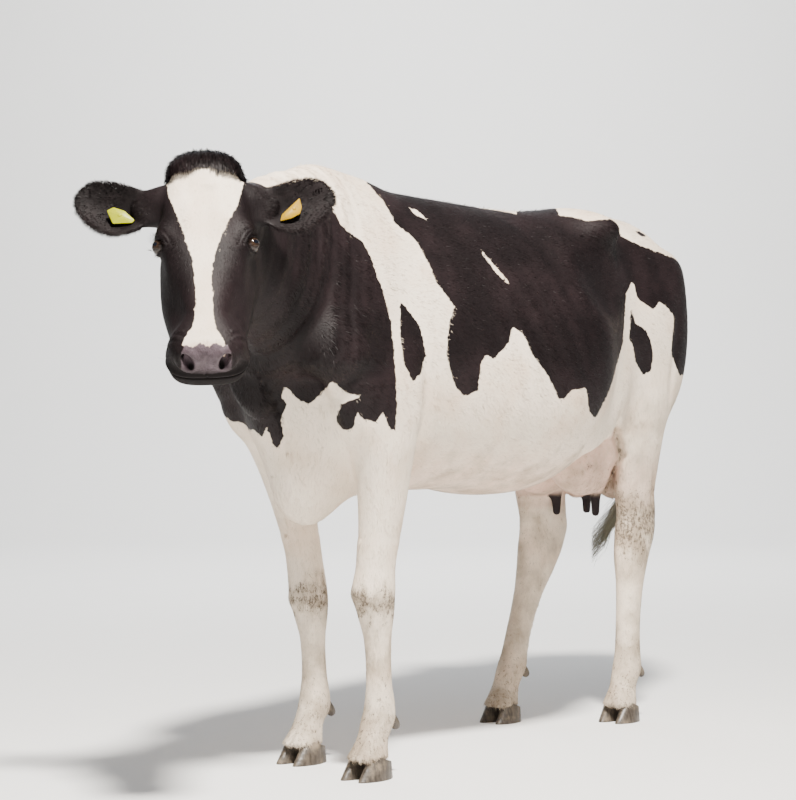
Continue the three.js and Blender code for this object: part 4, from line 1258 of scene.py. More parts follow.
def coat_colour(n, dark, hair):
    """The coat's two colours with their stains, painted shade with the mud in the crease by the udder and
    painted sheen in the worn black; on hair the edge of a patch is already ragged.
    """
    soft = n.noise(7, 4)
    fine = n.noise(90, 3)
    if not hair:
        edge = n.math("MULTIPLY_ADD", n.noise(70, 4), 1.2, -0.6)
        dark = n.math("ADD", dark, edge)
    black = n.ramp(dark, -0.12, 0.12)
    tone = n.attribute("tone") if hair else n.noise(320, 2)
    # Painted sheen and wear: the black turns towards the worn purple-grey in patches and from tuft to tuft.
    worn_and_sheen = n.math("ADD", n.ramp(soft, 0.35, 0.72, 0, 0.6), n.math("MULTIPLY", tone, 0.55))
    black_colour = n.mix(worn_and_sheen, BLACK_DEEP, BLACK_WORN_SHEEN)
    warm = n.math("ADD", n.ramp(soft, 0.42, 0.75, 0, 0.5), n.math("MULTIPLY", tone, 0.38))
    white_colour = n.mix(warm, WHITE_HAIR, WHITE_WARM)
    pink = n.math("MULTIPLY", n.attribute("pink"), n.ramp(fine, 0.25, 0.75, 0.75, 1.0))
    white_colour = n.mix(pink, white_colour, PINK_SKIN)
    # Mud on the white, with painted shade in the crease by the udder.
    mud_and_crease_shade = n.attribute("mud_and_crease_shade")
    mud_and_shade_share = n.math("MULTIPLY", n.ramp(mud_and_crease_shade, 0.02, 0.2), n.math("MULTIPLY_ADD", black, -0.8, 1.0))
    specks = n.math("ADD", n.noise(130, 6, n.place((1, 1, 0.6)), 0.8), n.math("MULTIPLY", mud_and_crease_shade, 0.27))
    specks = n.math("MULTIPLY", n.ramp(specks, 0.69, 0.80), mud_and_shade_share)
    tint = n.ramp(n.math("ADD", n.noise(13, 4), n.math("MULTIPLY", mud_and_crease_shade, 0.50)), 0.50, 1.05)
    colour = n.mix(black, white_colour, black_colour)
    colour = n.mix(n.math("MULTIPLY", n.math("MULTIPLY", tint, mud_and_shade_share), 0.85), colour, DRY_MUD_AND_CREASE_SHADE)
    colour = n.mix(n.math("MULTIPLY", specks, 0.85), colour, DARK_MUD_AND_CREASE_SHADE)
    return colour, black


def skin_material():
    n = Nodes("coat_skin")
    colour, black = coat_colour(n, n.attribute("dark"), False)
    bare = n.attribute("bare")
    nose_tone = n.mix(n.ramp(n.noise(60, 4), 0.3, 0.75), NOSE_SKIN, (0.100, 0.074, 0.086))
    nose = n.ramp(bare, 0.35, 0.65)
    colour = n.mix(nose, colour, nose_tone)
    colour = n.mix(n.attribute("teat"), colour, (0.018, 0.013, 0.014))
    colour = n.mix(n.attribute("lid"), colour, (0.085, 0.075, 0.080))
    colour = n.mix(n.attribute("shade"), colour, (0.0025, 0.0015, 0.0015))
    along = n.noise(260, 3, n.place((1.0, 0.16, 0.8)))
    down = n.noise(260, 3, n.place((1.0, 0.9, 0.14)))
    lie = n.add("ShaderNodeMix", data_type="FLOAT")
    n.value(n.attribute("down"), lie.inputs[0])
    n.link(along, lie.inputs[2])
    n.link(down, lie.inputs[3])
    hair_bump = n.bump(lie.outputs[0], 0.5, 0.0022)
    pores = n.add("ShaderNodeTexVoronoi")
    pores.inputs["Scale"].default_value = 330
    n.link(n.place(), pores.inputs["Vector"])
    pores = n.math("MULTIPLY", pores.outputs["Distance"], nose)
    normal = n.bump(pores, 0.55, 0.0016, hair_bump)
    rough = n.math("MULTIPLY_ADD", black, -0.14, 0.72)
    rough = n.math("MULTIPLY_ADD", nose, -0.24, rough)
    rough = n.math("MULTIPLY_ADD", n.attribute("shade"), 0.3, rough, clamp=True)
    return n.finish(colour, rough, normal, 0.15)


def hair_material(name="coat_hair", rough=(0.66, 0.50)):
    n = Nodes(name)
    colour, black = coat_colour(n, n.attribute("dark"), True)
    along = n.attribute("along")
    # Painted shade: each tuft darkens towards its root, where the coat above it would shade it.
    colour = n.mix(n.math("MULTIPLY_ADD", along, -0.18, 0.18), colour, (0.02, 0.014, 0.012))
    colour = n.mix(n.attribute("shade"), colour, (0.0025, 0.0015, 0.0015))
    material = n.finish(colour, n.math("MULTIPLY_ADD", black, rough[1] - rough[0], rough[0]), None, 0.12)
    return material


def eye_material():
    n = Nodes("eye_ball")
    pupil, iris = n.attribute("pupil"), n.attribute("iris")
    rays = n.noise(160, 4, rough=0.7)
    brown = n.mix(n.ramp(rays, 0.3, 0.7), (0.012, 0.007, 0.005), (0.035, 0.020, 0.012))
    white = n.mix(n.ramp(n.noise(90, 3), 0.3, 0.7), (0.16, 0.12, 0.105), (0.05, 0.03, 0.026))
    colour = n.mix(n.ramp(iris, 0.45, 0.62), white, brown)
    rim = n.math("MULTIPLY", n.ramp(iris, 0.45, 0.6), n.ramp(iris, 0.9, 0.65))
    colour = n.mix(n.math("MULTIPLY", rim, 0.12), colour, (0.06, 0.065, 0.08))
    colour = n.mix(n.ramp(pupil, 0.45, 0.55), colour, (0.003, 0.004, 0.007))
    material = n.finish(colour, 0.12, n.bump(rays, 0.06, 0.0006), 0.2)
    n.shader.inputs["Coat Weight"].default_value = 0.35
    n.shader.inputs["Coat Roughness"].default_value = 0.03
    return material


def claw_material():
    n = Nodes("claw_horn")
    grain = n.noise(120, 4, n.place((1, 1, 0.12)), 0.65)
    rings = n.noise(55, 3, n.place((0.05, 0.05, 1.0)))
    patch = n.noise(26, 5)
    colour = n.mix(n.ramp(grain, 0.3, 0.75), (0.030, 0.024, 0.019), (0.115, 0.092, 0.070))
    colour = n.mix(n.ramp(patch, 0.5, 0.72, 0, 0.85), colour, (0.235, 0.185, 0.130))
    height = n.math("ADD", n.math("MULTIPLY", rings, 1.2), n.math("MULTIPLY", grain, 0.4))
    normal = n.bump(height, 0.6, 0.0018)
    return n.finish(colour, n.ramp(patch, 0.4, 0.7, 0.38, 0.82), normal, 0.45)


def tag_material(name, low, high):
    n = Nodes(name)
    shade = n.noise(22, 4)
    dirt = n.noise(120, 5, rough=0.7)
    scratch = n.noise(90, 3, n.place((1, 0.1, 1), (0.3, 0.2, 0.6)))
    colour = n.mix(n.ramp(shade, 0.3, 0.7), low, high)
    colour = n.mix(n.ramp(dirt, 0.60, 0.75, 0, 0.45), colour, (0.30, 0.22, 0.09))
    rough = n.ramp(scratch, 0.35, 0.7, 0.34, 0.55)
    normal = n.bump(n.math("ADD", dirt, n.math("MULTIPLY", scratch, 0.4)), 0.18, 0.0005)
    material = n.finish(colour, rough, normal, 0.2)
    n.shader.inputs["Subsurface Weight"].default_value = 0.12
    n.shader.inputs["Subsurface Radius"].default_value = (0.004, 0.003, 0.001)
    return material


# ---------------------------------------------------------------- skin
skin_v, skin_f, skin_n = build_skin()
print("skin", len(skin_v), len(skin_f))


def ear_share(points, reach=14):
    best = np.full(len(points), 1e9)
    for ear in EARS.values():
        near = ((points > ear.low) & (points < ear.high)).all(1)
        t, _, _ = ear.local(points[near])
        d = np.full(near.sum(), 1e9)
        d[t > 35] = np.abs(ear(points[near][t > 35]))
        best[near] = np.minimum(best[near], d)
    return best < reach


def teat_share(points):
    amount = np.zeros(len(points))
    x, y, z = points.T
    for teat_x, teat_y in TEATS:
        on_teat = (np.hypot(x - teat_x, y - teat_y) < 28) * (np.abs(x) < 85) * (z > 555)
        amount = np.maximum(amount, on_teat * bump_up(-z, -652, -628))
    return amount


def surface_facts(points, normals):
    """What the coat needs to know at each point of the skin."""
    x, y, z = points.T
    u, v, w = in_head(points)
    dark = darkness(points)
    bare = bare_nose(points)
    udder = np.min([shape(points) for shape in UDDER], axis=0)
    pink = 0.85 * bump_up(-udder, -26, -4) * (z < 870)
    pink = np.maximum(pink, 0.40 * bump_up(-z, -800, -690) * (normals[:, 2] < 0.2) * (z > 600) * (y > -450))
    within = bump_up(-beside_fold(points), -4, 12) * (y > 440) * (z > 630)
    pink = np.maximum(pink, 0.8 * within * bump_up(-z, -900, -830))
    nose_pink = bump_up(u, 418, 440) * (dark < 0.4) * (w > -60)
    pink = np.maximum(pink, 0.75 * nose_pink)
    x, y, z = points.T + [[0], [0], [1]] * (34 * ragged(points * 0.6))
    mud_and_crease_shade = 0.34 * bump_up(-z, -520, -330) + 0.3 * bump_up(-z, -330, -60)
    mud_and_crease_shade = np.maximum(mud_and_crease_shade, 0.42 * bump_up(-z, -820, -690) * (y > -300) * (y < 560))
    mud_and_crease_shade = np.maximum(mud_and_crease_shade, 0.7 * np.exp(-(((y - 455) / 55) ** 2) - (((z - 720) / 40) ** 2)))
    hock = (y > 480) * (0.26 * bump_up(-z, -1050, -800) + 0.62 * (x > 0) * hill(z, 560, 105))
    mud_and_crease_shade = np.maximum(mud_and_crease_shade, hock)
    knees = hill(z, 410, 55) * (y < -380) * (y > -640)
    mud_and_crease_shade = np.clip(np.maximum(mud_and_crease_shade, 0.85 * knees), 0, 1.2)
    x, y, z = points.T
    # Painted shade with mud: the crease where the thigh meets the udder is stained dark brown along its line.
    folded = hill(beside_fold(points), 0, 8) * (np.abs(x) > 70) * bump_up(y, 420, 480) * (y < 640)
    mud_and_crease_shade = np.maximum(mud_and_crease_shade, 0.95 * folded * bump_up(z, 640, 670) * bump_up(-z, -880, -800))
    mud_and_crease_shade = np.maximum(mud_and_crease_shade, 0.30 * np.exp(-(((u - 42) / 26) ** 2) - ((v / 40) ** 2)) * (w > -60))
    legs = (z < 760) & ~((y > -420) & (y < 480) & (z > 560))
    head = is_head(points)
    down = np.clip(legs * 1.0 + head * 0.7, 0, 1)
    shade, lid = np.zeros(len(points)), np.zeros(len(points))
    for hollow in NOSTRILS:
        near = np.abs(u - 440) < 60
        shade[near] = np.maximum(shade[near], bump_up(-hollow(points[near]), -0.5, 1.5))
    for ear in EARS.values():
        near = ((points > ear.low) & (points < ear.high)).all(1)
        t, rise, depth = ear.local(points[near])
        half, shift, cup, _ = ear.rows_at(t)
        across = (rise - shift) / half
        front = depth > cup * (across**2 - 0.4)
        hollow = np.exp(-(((t - 92) / 48) ** 2) - (((across - 0.25) / 0.5) ** 2)) * front * (t > 35)
        shade[near] = np.maximum(shade[near], 0.85 * hollow + 0.4 * front * (t > 60) * (hollow < 0.45))
    shade = np.maximum(shade, 0.8 * hill(w - mouth_level(u), 0, 2.5) * (u > 385) * head)
    shade = np.maximum(shade, 0.86 * bump_up(-w, 50, 74) * bump_up(u, 420, 440) * head)
    for s in (1, -1):
        close = np.linalg.norm(points - eye_centre(s), axis=1) < 40
        gap, _, c, _ = lid_gap(points[close], s)
        shade[close] = np.maximum(shade[close], bump_up(-gap, -1.5, 0.5) * (c > 0))
        lid[close] = np.maximum(lid[close], bump_up(-np.abs(gap - 2.2), -2.6, -0.8) * (c > 0))
    return {
        "dark": dark,
        "bare": bump_up(bare + 0.15 * ragged(points * 2), -0.9, 0.7),
        "pink": pink,
        "mud_and_crease_shade": mud_and_crease_shade,
        "down": down,
        "shade": shade,
        "teat": teat_share(points),
        "lid": lid,
    }


facts = surface_facts(skin_v, skin_n)
skin = mesh_object("cow_skin", skin_v, skin_f, skin_material(), facts, skin_n)
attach(skin, "root")
flesh_nodes = ["trunk", "neck", "head", "muzzle", "ear_left", "ear_right", "udder"]
flesh_nodes += ["tail_base", "tail_middle", "tail_switch"]
flesh_nodes += [f"teat_{end}_{side}" for end in ("fore", "hind") for side in ("left", "right")]
flesh_nodes += [f"leg_{name}_{part}" for name in LEGS for part in ("upper", "lower")]
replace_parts(skin, *flesh_nodes)

# ---------------------------------------------------------------- eyes
def eye_piece(name, side):
    rings, around = 40, 64
    out, along, across = eye_ways(side)
    points, pupil, iris = [], [], []
    for i in range(rings + 1):
        polar = math.pi * i / rings
        for k in range(around):
            turn = 2 * math.pi * k / around
            a, b, c = math.sin(polar) * math.cos(turn), math.sin(polar) * math.sin(turn), math.cos(polar)
            reach = math.hypot(a, b) * EYE_RADIUS
            dome = 1.6 * math.exp(-((reach / 11.5) ** 4)) if c > 0 else 0.0
            points.append(eye_centre(side) + (along * a + across * b + out * c) * (EYE_RADIUS - 1 + dome))
            slot = ((a * EYE_RADIUS / 9.0) ** 4 + (b * EYE_RADIUS / 4.2) ** 4) ** 0.25
            pupil.append(1.5 - slot if c > 0 else 0.0)
            iris.append(1.5 - reach / 22 if c > 0 else 0.0)
    faces = []
    for i in range(rings):
        for k in range(around):
            a, b = i * around + k, i * around + (k + 1) % around
            faces += [(a, a + around, b), (b, a + around, b + around)]
    points = np.array(points)
    numbers = {"pupil": np.array(pupil), "iris": np.array(iris)}
    piece = mesh_object(name, points, np.array(faces), EYE_MATERIAL, numbers)
    bm = bmesh.new()
    bm.from_mesh(piece.data)
    bmesh.ops.remove_doubles(bm, verts=bm.verts, dist=1e-6)
    bmesh.ops.recalc_face_normals(bm, faces=bm.faces)
    bm.to_mesh(piece.data)
    bm.free()
    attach(piece, "root")
    return piece


EYE_MATERIAL = eye_material()
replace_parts(eye_piece("eyeball_left", 1), "eye_left")
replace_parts(eye_piece("eyeball_right", -1), "eye_right")

# ---------------------------------------------------------------- claws
CLAW_LENGTH = {"fore": 118, "hind": 110}
CLAW_WIDTH = 58
CLAW_TOE_ANGLE = 52
CLAW_CLEFT = 4
CORONET_HEEL, CORONET_TOE = 38, 58
DEWCLAW_LENGTH, DEWCLAW_RADIUS, DEWCLAW_APART = 36, 13, 19
CLAW_MATERIAL = claw_material()


def closed_rings(rings):
    """Triangles over rings of equally many points, closed at both ends."""
    n = rings.shape[1]
    points = [p for ring in rings for p in ring]
    faces = []
    for r in range(len(rings) - 1):
        for i in range(n):
            a, b = r * n + i, r * n + (i + 1) % n
            faces += [(a, b, b + n), (a, b + n, a + n)]
    for ring, start, turn in ((rings[0], 0, 1), (rings[-1], (len(rings) - 1) * n, -1)):
        points.append(ring.mean(0))
        faces += [(len(points) - 1, start + (i + 1) % n, start + i)[::turn] for i in range(n)]
    points, faces = np.array(points), np.array(faces)
    corners = points[faces]
    volume = (corners[:, 0] * np.cross(corners[:, 1], corners[:, 2])).sum()
    return points, faces if volume > 0 else faces[:, ::-1]


def claw_rings(x, y, side, length):
    around, levels = 48, 16
    turn = np.linspace(0, 2 * math.pi, around, endpoint=False)
    ahead = (1 + np.cos(turn)) / 2
    half = CLAW_WIDTH / 2
    rings = []
    shares = [0, 0, *np.linspace(0.03, 0.97, levels), 1, 1]
    insets = [0.90, 0.985, *[1.0] * levels, 0.97, 0.86]
    for share, inset in zip(shares, insets):
        height = share * (CORONET_HEEL + (CORONET_TOE - CORONET_HEEL) * ahead)
        front = length * 0.55 - height / math.tan(math.radians(CLAW_TOE_ANGLE))
        rear = -length * 0.45 + height * 0.18
        taper = 1 - 0.1 * share - 0.28 * ahead**3
        bulge = np.where(np.sin(turn) * side > 0, 1, 0.82)
        ripple = 1 - 0.006 * (1 + math.cos(share * 34)) if 0 < share < 1 else 1
        middle = (front + rear) / 2
        along = middle + (rear + (front - rear) * ahead - middle) * inset * ripple
        across = half * taper * bulge * np.sin(turn) * inset * ripple
        rings.append(np.stack([x + across, y - along, np.full(around, 0.0) + height], 1))
    return np.array(rings)


def dewclaw_rings(x, y, z, side):
    way = unit((side * 0.25, 0.5, -0.8))
    e1 = unit(np.cross(way, (1, 0, 0)))
    e2 = np.cross(way, e1)
    turn = np.linspace(0, 2 * math.pi, 28, endpoint=False)
    circle = np.outer(np.cos(turn), e1) + np.outer(np.sin(turn), e2)
    profile = [
        (1.0, -0.5), (1.02, -0.3), (1.0, -0.05), (0.92, 0.15), (0.78, 0.32), (0.52, 0.44), (0.2, 0.495),
    ]
    at = np.array([x, y, z], float)
    return np.array([at + circle * DEWCLAW_RADIUS * r + way * DEWCLAW_LENGTH * h for r, h in profile])


def add_claws(name, table, side):
    part = name.split("_")[0]
    fetlock_z, fetlock_x, fetlock_y, _, _, behind = table[-3]
    _, foot_x, foot_y = table[-1][:3]
    for s in (1, -1):
        which = "outer" if s == side else "inner"
        x = foot_x + s * (CLAW_WIDTH / 2 * 0.82 + CLAW_CLEFT / 2)
        sets = [("claw", claw_rings(x, foot_y, s, CLAW_LENGTH[part]))]
        place = (fetlock_x + s * DEWCLAW_APART, fetlock_y + behind - 9, fetlock_z - 12, s)
        sets.append(("dewclaw", dewclaw_rings(*place)))
        for kind, rings in sets:
            node = f"{kind}_{name}_{which}"
            piece = mesh_object("horn_" + node, *closed_rings(rings), CLAW_MATERIAL)
            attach(piece, "root")
            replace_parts(piece, node)


for leg_name, (leg_table, leg_side) in LEGS.items():
    add_claws(leg_name, leg_table, leg_side)

# ---------------------------------------------------------------- ear tags
# the plate of each tag, seen from the front of the ear: place out along the ear, and up
TAG_PLATES = {
    1: [(22, 30), (26, 8), (21, -8), (2, -19), (-22, -25), (-18, -10), (1, 9)],
    -1: [(28, 7), (14, 14), (-10, 5), (-32, -16), (-27, -23), (14, -25)],
}
TAG_PINS = {1: (9, 5), -1: (0, -4)}
TAG_THICK, TAG_BUTTON = 2.4, 13
TAG_ALONG, TAG_RISE, TAG_FRONT, TAG_BACK = 94, -16, 9, -22
# One yellow plastic in two copies: the left ear's tag has the deeper gold copy, as painted shade with light
# shining through it from behind; the right ear's tag has the copy in light.
TAG_MATERIALS = {
    1: tag_material("tag_plastic_in_shade", (0.27, 0.155, 0.0004), (0.33, 0.195, 0.001)),
    -1: tag_material("tag_plastic_in_light", (0.27, 0.285, 0.001), (0.33, 0.35, 0.004)),
}


def rounded(outline, radius, steps=5):
    """An outline in the plane with its corners rounded."""
    points = []
    for i, corner in enumerate(outline):
        p = np.array(corner, float)
        a = unit(np.array(outline[i - 1], float) - p)
        b = unit(np.array(outline[(i + 1) % len(outline)], float) - p)
        for k in range(steps + 1):
            t = k / steps
            points.append(p + a * radius * (1 - t) ** 2 + b * radius * t**2)
    return np.array(points)


def tag_piece(name, side):
    ear = EARS[side]
    edge = rounded(TAG_PLATES[side], 3)
    pin = np.array(TAG_PINS[side], float)
    rings = []
    for inset, depth in ((0.965, 0), (1, 0.5), (1, TAG_THICK - 0.5), (0.965, TAG_THICK)):
        bow = -0.002 * (edge[:, 0] ** 2)
        rings.append(np.column_stack([edge * inset, TAG_FRONT + depth + bow]))
    sets = [closed_rings(np.array(rings))]
    turn = np.linspace(0, 2 * math.pi, 36, endpoint=False)
    wide = TAG_BUTTON
    for profile in (
        ((wide - 1, -0.4), (wide, 0.6), (wide, 1.8), (wide - 1.2, 2.4), (4, 3.0), (3, 4)),
        ((3.0, 2.0), (3.0, 30.0)),
        ((5.5, 33.0), (5.5, 34.4), (4.6, 35.2), (2.6, 35.9), (1.2, 36.1)),
    ):
        disc = [
            np.column_stack([
                pin[0] + r * np.cos(turn), pin[1] + r * np.sin(turn), np.full(36, TAG_BACK - 2.4 + z),
            ])
            for r, z in profile
        ]
        sets.append(closed_rings(np.array(disc)))
    points, faces, start = [], [], 0
    for p, f in sets:
        points.append(p)
        faces.append(f + start)
        start += len(p)
    local, faces = np.concatenate(points), np.concatenate(faces)
    base = ear.base + ear.a * TAG_ALONG + ear.b * TAG_RISE
    world = base + local @ np.stack([ear.a, ear.b, ear.c])
    corners = world[faces]
    volume = (corners[:, 0] * np.cross(corners[:, 1], corners[:, 2])).sum()
    piece = mesh_object(name, world, faces if volume > 0 else faces[:, ::-1], TAG_MATERIALS[side])
    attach(piece, "root")
    return piece


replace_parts(tag_piece("ear_tag_left", 1), "tag_left")
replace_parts(tag_piece("ear_tag_right", -1), "tag_right")

# ---------------------------------------------------------------- coat
WHORL = (150.0, 0.0)


def lie_of_coat(points, normals):
    """The way the hair runs at each point, along the skin."""
    x, y, z = points.T
    u, v, w = in_head(points)
    way = np.tile(np.array([0.0, 1.0, -0.25]), (len(points), 1))
    way[:, 2] -= 0.9 * np.clip((1150 - z) / 400, 0, 1) * (normals[:, 2] > -0.5)
    neck = (y < -640)[:, None]
    way = np.where(neck, -unit(NECK_WAY) + np.array([0, 0, -0.55]), way)
    legs = (z < 820) & ~((y > -420) & (y < 430) & (z > 560)) | ((y > 480) & (z < 1000))
    way = np.where(legs[:, None], np.array([0.0, 0.12, -1.0]), way)
    tail = (y > 925) & (np.abs(x) < 110)
    way = np.where(tail[:, None], np.array([0.0, 0.0, -1.0]), way)
    head = is_head(points)
    du, dv = (u - WHORL[0]), (v - WHORL[1])
    fan = np.hypot(du, dv) + 1e-6
    along_u = np.where(u > 210, 1.0, du / fan)
    along_v = np.where(u > 210, 0.25 * np.sign(v) * (np.abs(v) > 30), dv / fan)
    back = np.clip((-w - 70) / 60, 0, 1)
    face = (
        np.outer(along_u * (1 - 0.6 * back), HEAD_DOWN)
        + np.outer(along_v, HEAD_LEFT)
        - np.outer(back * 0.8, HEAD_OUT)
    )
    way = np.where(head[:, None], face, way)
    for ear in EARS.values():
        near = ((points > ear.low) & (points < ear.high)).all(1)
        t, rise, _ = ear.local(points[near])
        part = way[near]
        on = (t > 30)[:, None]
        part = np.where(on, ear.a + np.outer(rise / 90, ear.b), part)
        way[near] = part
    way = way - normals * (way * normals).sum(1, keepdims=True)
    return way / np.maximum(np.linalg.norm(way, axis=1, keepdims=True), 1e-6)


def unwrap(points):
    """A place for each root on an unwrap of the body: a cell for each part, opened round its axis."""
    x, y, z = points.T
    u, v, w = in_head(points)
    head = is_head(points)
    kind = np.zeros(len(points), int)
    a = np.arctan2(x, z - 1040) / (2 * math.pi) + 0.5
    b = (y + 1250) / 2300
    kind[head] = 1
    a = np.where(head, np.arctan2(v, w + 80) / (2 * math.pi) + 0.5, a)
    b = np.where(head, (u + 70) / 560, b)
    for k, (table, _) in enumerate(LEGS.values()):
        _, mid_x, mid_y = table[len(table) // 2][:3]
        on = (z < 640) & (np.sign(x) == np.sign(mid_x)) & (np.abs(y - mid_y) < 260) & ~((y > 880))
        kind[on] = 2 + k
        a = np.where(on, np.arctan2(x - mid_x, y - mid_y) / (2 * math.pi) + 0.5, a)
        b = np.where(on, z / 650, b)
    tail = (y > 935) & (np.abs(x) < 120)
    kind[tail] = 6
    a = np.where(tail, np.arctan2(x, y - 970) / (2 * math.pi) + 0.5, a)
    b = np.where(tail, (z - 380) / 1040, b)
    for k, ear in enumerate(EARS.values()):
        near = ((points > ear.low) & (points < ear.high)).all(1)
        t, rise, depth = ear.local(points)
        on = near & (t > 40) & (t < 230)
        kind[on] = 7 + k
        front = depth > np.interp(t, ear.t, ear.f[:, 3]) * ((rise / 55) ** 2 - 0.4)
        a = np.where(on, (rise + 75) / 310 + 0.5 * front, a)
        b = np.where(on, (t - 30) / 210, b)
    across, rows = 3, 3
    margin = 0.012
    cell_u = (kind % across) / across + margin + np.clip(a, 0, 1) * (1 / across - 2 * margin)
    cell_v = (kind // across) / rows + margin + np.clip(b, 0, 1) * (1 / rows - 2 * margin)
    return np.stack([cell_u, cell_v], 1)


first_corner, second_corner, third_corner = (skin_v[skin_f[:, i]] for i in range(3))
face_area = 0.5 * np.linalg.norm(
    np.cross(second_corner - first_corner, third_corner - first_corner), axis=1
)
face_middle = skin_v[skin_f].mean(1)


def scatter(count, weight):
    """Roots on the skin: places, normals, and the skin's numbers there."""
    share = face_area * weight
    pick = RNG.choice(len(skin_f), size=count, p=share / share.sum())
    r1, r2 = np.sqrt(RNG.random(count)), RNG.random(count)
    mix = np.stack([1 - r1, r1 * (1 - r2), r1 * r2], 1)
    corner = skin_f[pick]
    place = (skin_v[corner] * mix[:, :, None]).sum(1)
    normal = (skin_n[corner] * mix[:, :, None]).sum(1)
    normal = unit_rows(normal)
    numbers = {key: (values[corner] * mix).sum(1) for key, values in facts.items()}
    return place, normal, numbers


def ribbons(roots, normals, ways, lengths, widths, lift, curl, segments=2, droop=None):
    """Thin curved tufts that taper to a point; returns points, faces, shares along and the number of points
    in each tuft.
    """
    count = len(roots)
    side = np.cross(normals, ways)
    side /= np.maximum(np.linalg.norm(side, axis=1, keepdims=True), 1e-6)
    points, shares = [], []
    for k in range(segments + 1):
        t = k / segments
        bow = lift * t - curl * t * t
        centre = roots + ways * (lengths * t)[:, None] + normals * (lengths * bow)[:, None]
        if droop is not None:
            centre = centre + droop * (lengths * t * t)[:, None]
        half = widths * (1 - t**1.6) * 0.5
        if k < segments:
            points += [centre - side * half[:, None], centre + side * half[:, None]]
            shares += [t, t]
        else:
            points.append(centre)
            shares.append(1.0)
    each = len(points)
    vertices = np.stack(points, 1).reshape(-1, 3)
    base = np.arange(count)[:, None] * each
    pattern = []
    for k in range(segments - 1):
        a = 2 * k
        pattern += [(a, a + 3, a + 1), (a, a + 2, a + 3)]
    a = 2 * (segments - 1)
    pattern.append((a, a + 2, a + 1))
    faces = (base[:, None] + np.array(pattern)[None]).reshape(-1, 3)
    share = np.tile(np.array(shares), count)
    return vertices, faces, share, each


def laid_flat(ways, normals):
    """Ways turned to lie along the skin."""
    return unit_rows(ways - normals * (ways * normals).sum(1, keepdims=True))


def coat_piece(
    name, roots, normals, ways, lengths, widths, lift, curl, numbers, material,
    segments=2, droop=None, soft=0.25,
):
    vertices, faces, share, each = ribbons(roots, normals, ways, lengths, widths, lift, curl, segments, droop)
    spread = {key: np.repeat(values, each) for key, values in numbers.items()}
    spread["along"] = share
    uv = np.repeat(unwrap(roots), each, axis=0)
    corner = np.tile(np.linspace(0, 2 * math.pi, each, endpoint=False), len(roots))
    uv = uv + 0.0015 * np.stack([np.cos(corner), np.sin(corner)], 1)
    shading = normals + soft * RNG.normal(size=normals.shape)
    shading = unit_rows(shading)
    piece = mesh_object(name, vertices, faces, material, spread, np.repeat(shading, each, axis=0), uv)
    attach(piece, "root")
    return piece


def hair_numbers(roots, numbers, edge=0.4):
    kept = {key: numbers[key] for key in ("dark", "pink", "mud_and_crease_shade", "shade")}
    kept["dark"] = kept["dark"] + edge * ragged(roots)
    kept["tone"] = RNG.random(len(roots))
    return kept


BODY_TUFTS = 64000  # in each of the trunk's three lengths
HEAD_TUFTS = 64000
EAR_TUFTS = 30000
LEG_TUFTS = 60000
BODY_LENGTHS = ((-1400, -330), (-330, 220), (220, 1100))
HAIR = hair_material()
u_mid, v_mid, w_mid = in_head(face_middle)
on_head = is_head(face_middle)
on_ear = ear_share(face_middle)
on_leg = face_middle[:, 2] < 640
hairless = facts["bare"] + facts["shade"] * (ear_share(skin_v) < 0.5) + facts["teat"]
face_bare = hairless[skin_f].max(1) > 0.35
open_skin = (~face_bare).astype(float)
for s in (1, -1):
    gap, _, depth, _ = lid_gap(face_middle, s)
    near_eye = np.linalg.norm(face_middle - eye_centre(s), axis=1) < 40
    open_skin[near_eye & (gap < 3.0)] = 0


def wisps(name, count, weight, length, width, lift, curl, spread=0.2, soft=0.24, edge=0.4, material=None):
    roots, normals, numbers = scatter(count, weight)
    ways = lie_of_coat(roots, normals)
    side = np.cross(normals, ways)
    sway = ragged(roots * 0.35)[:, None] * 0.35 + spread * RNG.normal(size=(count, 1))
    ways = ways + side * sway
    ways = unit_rows(ways)
    lengths = length * RNG.uniform(0.65, 1.25, count)
    widths = width * RNG.uniform(0.7, 1.3, count)
    rise = lift * RNG.uniform(0.5, 1.5, count)
    near = bump_up(numbers["bare"], 0.4, 0.0)
    lengths *= (0.4 + 0.6 * near) * (0.55 + 0.45 * np.minimum(np.abs(numbers["dark"]) / 1.6, 1))
    return coat_piece(
        name, roots - normals * 0.4, normals, ways, lengths, widths, rise, curl,
        hair_numbers(roots, numbers, edge), material or HAIR, soft=soft,
    )


thin_on_pink = np.where(facts["pink"][skin_f].max(1) > 0.6, 0.35, 1.0)
trunk_weight = open_skin * ~on_head * ~on_ear * ~on_leg * thin_on_pink
for part, (low, high) in enumerate(BODY_LENGTHS):
    here = (face_middle[:, 1] >= low) & (face_middle[:, 1] < high)
    wisps(f"coat_body_{part + 1}", BODY_TUFTS, trunk_weight * here, 17, 1.5, 0.09, 0.07)
wisps("coat_head", HEAD_TUFTS, open_skin * on_head * ~on_ear, 8.5, 0.95, 0.11, 0.07)
wisps("coat_ears", EAR_TUFTS, open_skin * on_ear, 10, 0.85, 0.12, 0.07)
wisps("coat_legs", LEG_TUFTS, open_skin * on_leg, 13, 1.4, 0.12, 0.08)


def spine():
    """Loose hair that stands up along the topline."""
    weight = open_skin * (skin_n[skin_f][:, :, 2].mean(1) > 0.9) * (np.abs(face_middle[:, 0]) < 70)
    weight = weight * (face_middle[:, 2] > 1330) * ~on_head
    roots, normals, numbers = scatter(2500, weight)
    ways = lie_of_coat(roots, normals) + 0.25 * RNG.normal(size=roots.shape)
    ways = laid_flat(ways, normals)
    count = len(roots)
    coat_piece(
        "coat_spine", roots, normals, ways, RNG.uniform(10, 24, count), RNG.uniform(0.7, 1.3, count),
        RNG.uniform(0.1, 0.45, count), RNG.uniform(0.0, 0.2, count), hair_numbers(roots, numbers), HAIR, 3,
    )


